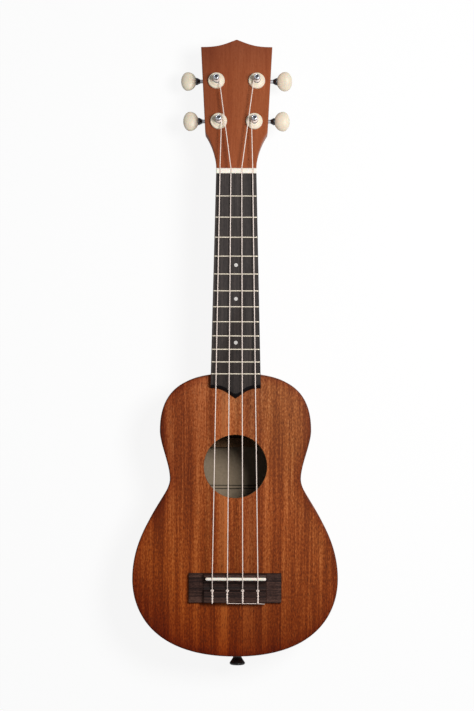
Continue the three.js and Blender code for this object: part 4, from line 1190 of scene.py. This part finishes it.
# %% [markdown]
# ## Tuners
# Each tuner has a bushing pressed into the headstock's face, a post that turns in it, and a worm on the
# shaft of the button that drives the post's gear. Post, windings and gear ride on the spindle. Button,
# collar and worm ride on the worm's body, so both turn as they do on the real instrument. The button
# turns fourteen times for one turn of the post. The four could be copies of one object, but each has its
# own bodies, so each is made at its place. The two on the left are mirrored.

# %% Places of the tuners
WORM_BESIDE, WORM_UNDER = 6.6, 18.5


def tuner_places():
    """For each tuner: its name, where its post stands, its mirroring, and the middle of its worm."""
    for name, (post_x, along) in POSTS.items():
        seat = np.array([post_x, along, 0.0])
        flip = np.array([np.sign(post_x), 1.0, 1.0])
        yield name, seat, flip, seat + [0.0, WORM_BESIDE, -WORM_UNDER]


print("tuners stand at", list(POSTS.values()))

# %% [markdown]
# ### Bushings
# A bushing is a cream plastic dish with a rolled rim, moulded in one piece. It is a lathe surface whose
# profile is closed on itself, because the post passes through its middle.

# %% Bushings
bushing_profile = [
    (3.05, 0.3), (3.05, 3.5), (3.25, 3.75), (3.6, 3.7), (4.3, 3.35), (5.0, 2.85), (5.6, 2.55), (6.1, 2.5),
    (6.5, 2.6), (6.9, 2.5), (7.15, 2.2), (7.28, 1.7), (7.3, 1.0), (7.3, 0.3), (7.25, 0.02),
]
for tuner, seat, flip, worm_axis in tuner_places():
    bushing = skin("bushing_dish_" + tuner, on_head(turned(bushing_profile) * flip + seat), wrap=True)
    settle(bushing, "instrument", cream, "cream_plastic", "bushing_" + tuner)
print("bushings are", 2 * 7.3, "mm across")

# %% [markdown]
# ### Posts
# A post is turned on a lathe: a journal in the bushing, a waist for the string and a rounded head. Its
# lower end runs down through the gear. A cross is pressed into the head. A Boolean could cut it, but the
# innermost rings of the profile can swell and shrink four times round, which keeps the mesh even. The
# faces deep in that dimple take the dark steel, as painted shade in the recess.

# %% Posts
post_profile = np.array([
    (0.02, -20.6), (1.9, -20.6), (1.9, -14.3), (2.9, -14.3), (2.9, 4.5), (2.75, 4.75), (2.2, 5.0),
    (2.1, 5.6), (2.1, 7.6), (2.3, 8.1), (2.55, 8.5), (2.68, 9.2), (2.7, 10.6), (2.62, 11.2), (2.4, 11.65),
    (2.05, 11.92), (1.7, 12.0), (1.35, 11.85), (1.15, 11.3), (0.9, 10.9), (0.02, 10.8),
])
SIDES = 48
around = np.linspace(0, 2 * np.pi, SIDES, endpoint=False)
in_dimple = np.arange(len(post_profile)) > 15
post_shape = turned(post_profile, SIDES)
post_shape[..., :2] *= 1 + (np.where(in_dimple, 0.24, 0.0)[:, None] * np.cos(4 * around))[..., None]
DIMPLE_RADIUS, DIMPLE_FLOOR = 1.45, 10.5
for tuner, seat, flip, worm_axis in tuner_places():
    post = skin("post_turned_" + tuner, on_head(post_shape * flip + seat))
    settle(post, "spindle_" + tuner, chrome, "tuner_metal", "post_" + tuner)
    # Painted shade: the faces deep in the dimple get the dark steel.
    local = face_values(post, "center") - on_head(seat)
    dimple_shade = (np.hypot(local[:, 0], local @ ALONG) < DIMPLE_RADIUS) & (local @ OUT > DIMPLE_FLOOR)
    second_finish(post, dark_steel_and_shade, dimple_shade)
print("posts reach", post_profile[:, 1].max(), "mm out of the headstock")

# %% [markdown]
# ### Windings
# Three turns of string lie on each post's waist. A stack of rings would look right only from the side,
# so they are one tube along a helix: (r cos a, r sin a, start - pitch a), which starts where the
# straight string meets the post.

# %% Windings
WINDING_TURNS = 3.1
coil = np.linspace(0, 1, 150)
for tuner, seat, flip, worm_axis in tuner_places():
    hand = flip[0]
    coil_angle = hand * 2 * np.pi * WINDING_TURNS * coil + np.pi / 2 + hand * np.pi / 2
    helix = np.column_stack([
        WINDING_RADIUS * np.cos(coil_angle), WINDING_RADIUS * np.sin(coil_angle), 7.4 - 2.4 * coil,
    ])
    winding = skin("string_winding_" + tuner, tube(on_head(helix + seat), STRING_R))
    settle(winding, "spindle_" + tuner, nylon, "string_nylon")
print("each winding is about", round(2 * np.pi * WINDING_RADIUS * WINDING_TURNS), "mm of string")

# %% [markdown]
# ### Buttons
# A button is an egg of cream plastic, moulded on the end of the worm's shaft and flat enough to grip. A
# scaled sphere has its widest place in the middle, and this button has it nearer the outer end, so its
# half width is a formula along its length. The four were left at slightly different turns, as a player
# leaves them.


# %% Buttons
def button_shape(turn_degrees):
    """An egg seen from the front. Along its length the half width follows a circle beyond the widest
    place and a softer curve before it, and the thickness follows the same curve, flattened."""
    length, start, half_width, half_thick, widest = 13.3, 18.2, 8.6, 4.6, 0.56
    u = (1 - np.cos(np.linspace(0, np.pi, 34))) / 2
    outer = np.sqrt(np.clip(1 - ((u - widest) / (1 - widest)) ** 2, 0, 1))
    inner = np.clip(1 - np.abs((widest - u) / 0.6) ** 2.2, 0, 1) ** 0.6
    swell = np.maximum(np.where(u > widest, outer, inner), 0.004)[:, None]
    wide = half_width * swell * np.sign(np.cos(around)) * np.abs(np.cos(around)) ** 0.95
    thick = half_thick * swell**0.85 * np.sign(np.sin(around)) * np.abs(np.sin(around)) ** 0.9
    cos, sin = np.cos(np.radians(turn_degrees)), np.sin(np.radians(turn_degrees))
    x = np.broadcast_to(start + length * u[:, None], wide.shape)
    return np.stack([x, wide * cos - thick * sin, wide * sin + thick * cos], -1)


BUTTON_TURN = {"lower_left": 4, "upper_left": -3, "upper_right": 24, "lower_right": 14}
for tuner, seat, flip, worm_axis in tuner_places():
    button = skin("button_egg_" + tuner, on_head(button_shape(BUTTON_TURN[tuner]) * flip + worm_axis))
    settle(button, "worm_" + tuner, cream, "cream_plastic", "button_" + tuner, crease=60)
print("four buttons, turned by", list(BUTTON_TURN.values()), "degrees")

# %% [markdown]
# ### Collars
# A dark steel cone widens the shaft to the button's end. It is a lathe surface laid along the shaft.

# %% Collars
collar_profile = [
    (1.68, 14.5), (1.85, 14.7), (1.95, 14.95), (2.5, 15.95), (3.2, 17.35), (3.24, 17.6), (3.2, 18.1),
    (2.9, 18.4), (1.2, 18.6), (0.02, 18.6),
]
collar_shape = turned(collar_profile, 32)[..., [2, 0, 1]]
for tuner, seat, flip, worm_axis in tuner_places():
    collar = skin("button_collar_" + tuner, on_head(collar_shape * flip + worm_axis))
    settle(collar, "worm_" + tuner, dark_steel_and_shade, "tuner_metal")
print("collars widen to", 2 * 3.24, "mm")

# %% [markdown]
# ### Screws behind the headstock
# A slotted screw holds each gear on its post and turns with it. Two cross-headed screws hold each plate.
# Grooves cut by a Boolean would cost more faces than the heads themselves. A head is a lathe surface
# whose top rings are pressed down where the slot or the cross runs.


# %% Screws behind the headstock
def screw_head(profile, first_ring, groove, depth):
    """A lathe surface that points out of the back, with its rings from first_ring on sunk by depth
    in the groove. groove holds one true or false for each side."""
    head = turned(profile, SIDES)
    head[first_ring:, :, 2] -= np.where(groove, depth, 0.0)
    return head * [1, 1, -1]


gear_screw_profile = [
    (0.02, 20.3), (2.9, 20.3), (3.0, 20.6), (2.85, 21.1), (2.4, 21.35), (1.6, 21.45), (0.9, 21.5),
    (0.02, 21.5),
]
plate_screw_profile = [
    (0.02, 11.0), (1.1, 11.0), (1.1, 14.2), (2.0, 14.35), (2.1, 14.6), (1.9, 15.0), (1.3, 15.25),
    (0.7, 15.3), (0.02, 15.3),
]
slot = np.abs(np.sin(around)) < 0.2
cross = np.minimum(np.abs(np.sin(around + 0.5)), np.abs(np.cos(around + 0.5))) < 0.26
gear_head = screw_head(gear_screw_profile, 3, slot, 0.7)
plate_head = screw_head(plate_screw_profile, 5, cross, 0.55)
for tuner, seat, flip, worm_axis in tuner_places():
    gear_screw = skin("gear_screw_" + tuner, on_head(gear_head * flip + seat))
    settle(gear_screw, "spindle_" + tuner, chrome, "tuner_metal")
    for place_name, place_y in (("low", -6.9), ("high", 11.9)):
        placed = on_head(plate_head * flip + seat + [0, place_y, 0])
        plate_screw = skin(f"plate_screw_{tuner}_{place_name}", placed)
        settle(plate_screw, "instrument", chrome, "tuner_metal")
print("four gear screws and eight plate screws")

# %% [markdown]
# ## Strap button
# A black button on the tail holds a strap. It is turned, so it is a lathe surface too: a narrow neck
# that flares to a rounded rim, and a dished end with the head of the screw that fixes it. Its axis
# points out of the tail, so one helper lays the upright surface on its side.

# %% Strap button
flare = [
    (0.02, 0.0), (4.4, 0.0), (4.1, 0.5), (3.75, 1.2), (3.62, 2.6), (3.65, 4.4), (3.85, 5.2), (4.4, 6.2),
    (5.3, 7.6), (6.1, 8.8), (6.6, 9.5), (6.8, 10.0), (6.8, 10.5), (6.6, 11.0), (6.2, 11.3), (5.6, 11.4),
    (4.2, 11.3), (3.4, 10.9), (3.2, 10.6), (0.02, 10.6),
]
screw_profile = [
    (0.02, 10.2), (2.6, 10.2), (2.7, 10.7), (2.3, 11.1), (1.5, 11.3), (0.9, 11.32), (0.75, 11.0), (0.5, 10.7),
    (0.02, 10.6),
]


def on_tail(shape):
    """Lays a lathe surface on its side, so that its axis points out of the tail."""
    return shape[..., [0, 2, 1]] * [1, -1, 1] + [2.2, TAIL_Y - 0.3, BODY_DEPTH / 2]


strap_button = skin("strap_button_turned", on_tail(turned(flare, 56)))
settle(strap_button, "instrument", black_plastic, "black_plastic", "strap_button")
screw = skin("strap_button_screw", on_tail(turned(screw_profile, 32)))
settle(screw, "instrument", chrome, "tuner_metal")
print("strap button stands", max(height for radius, height in flare), "mm off the tail")
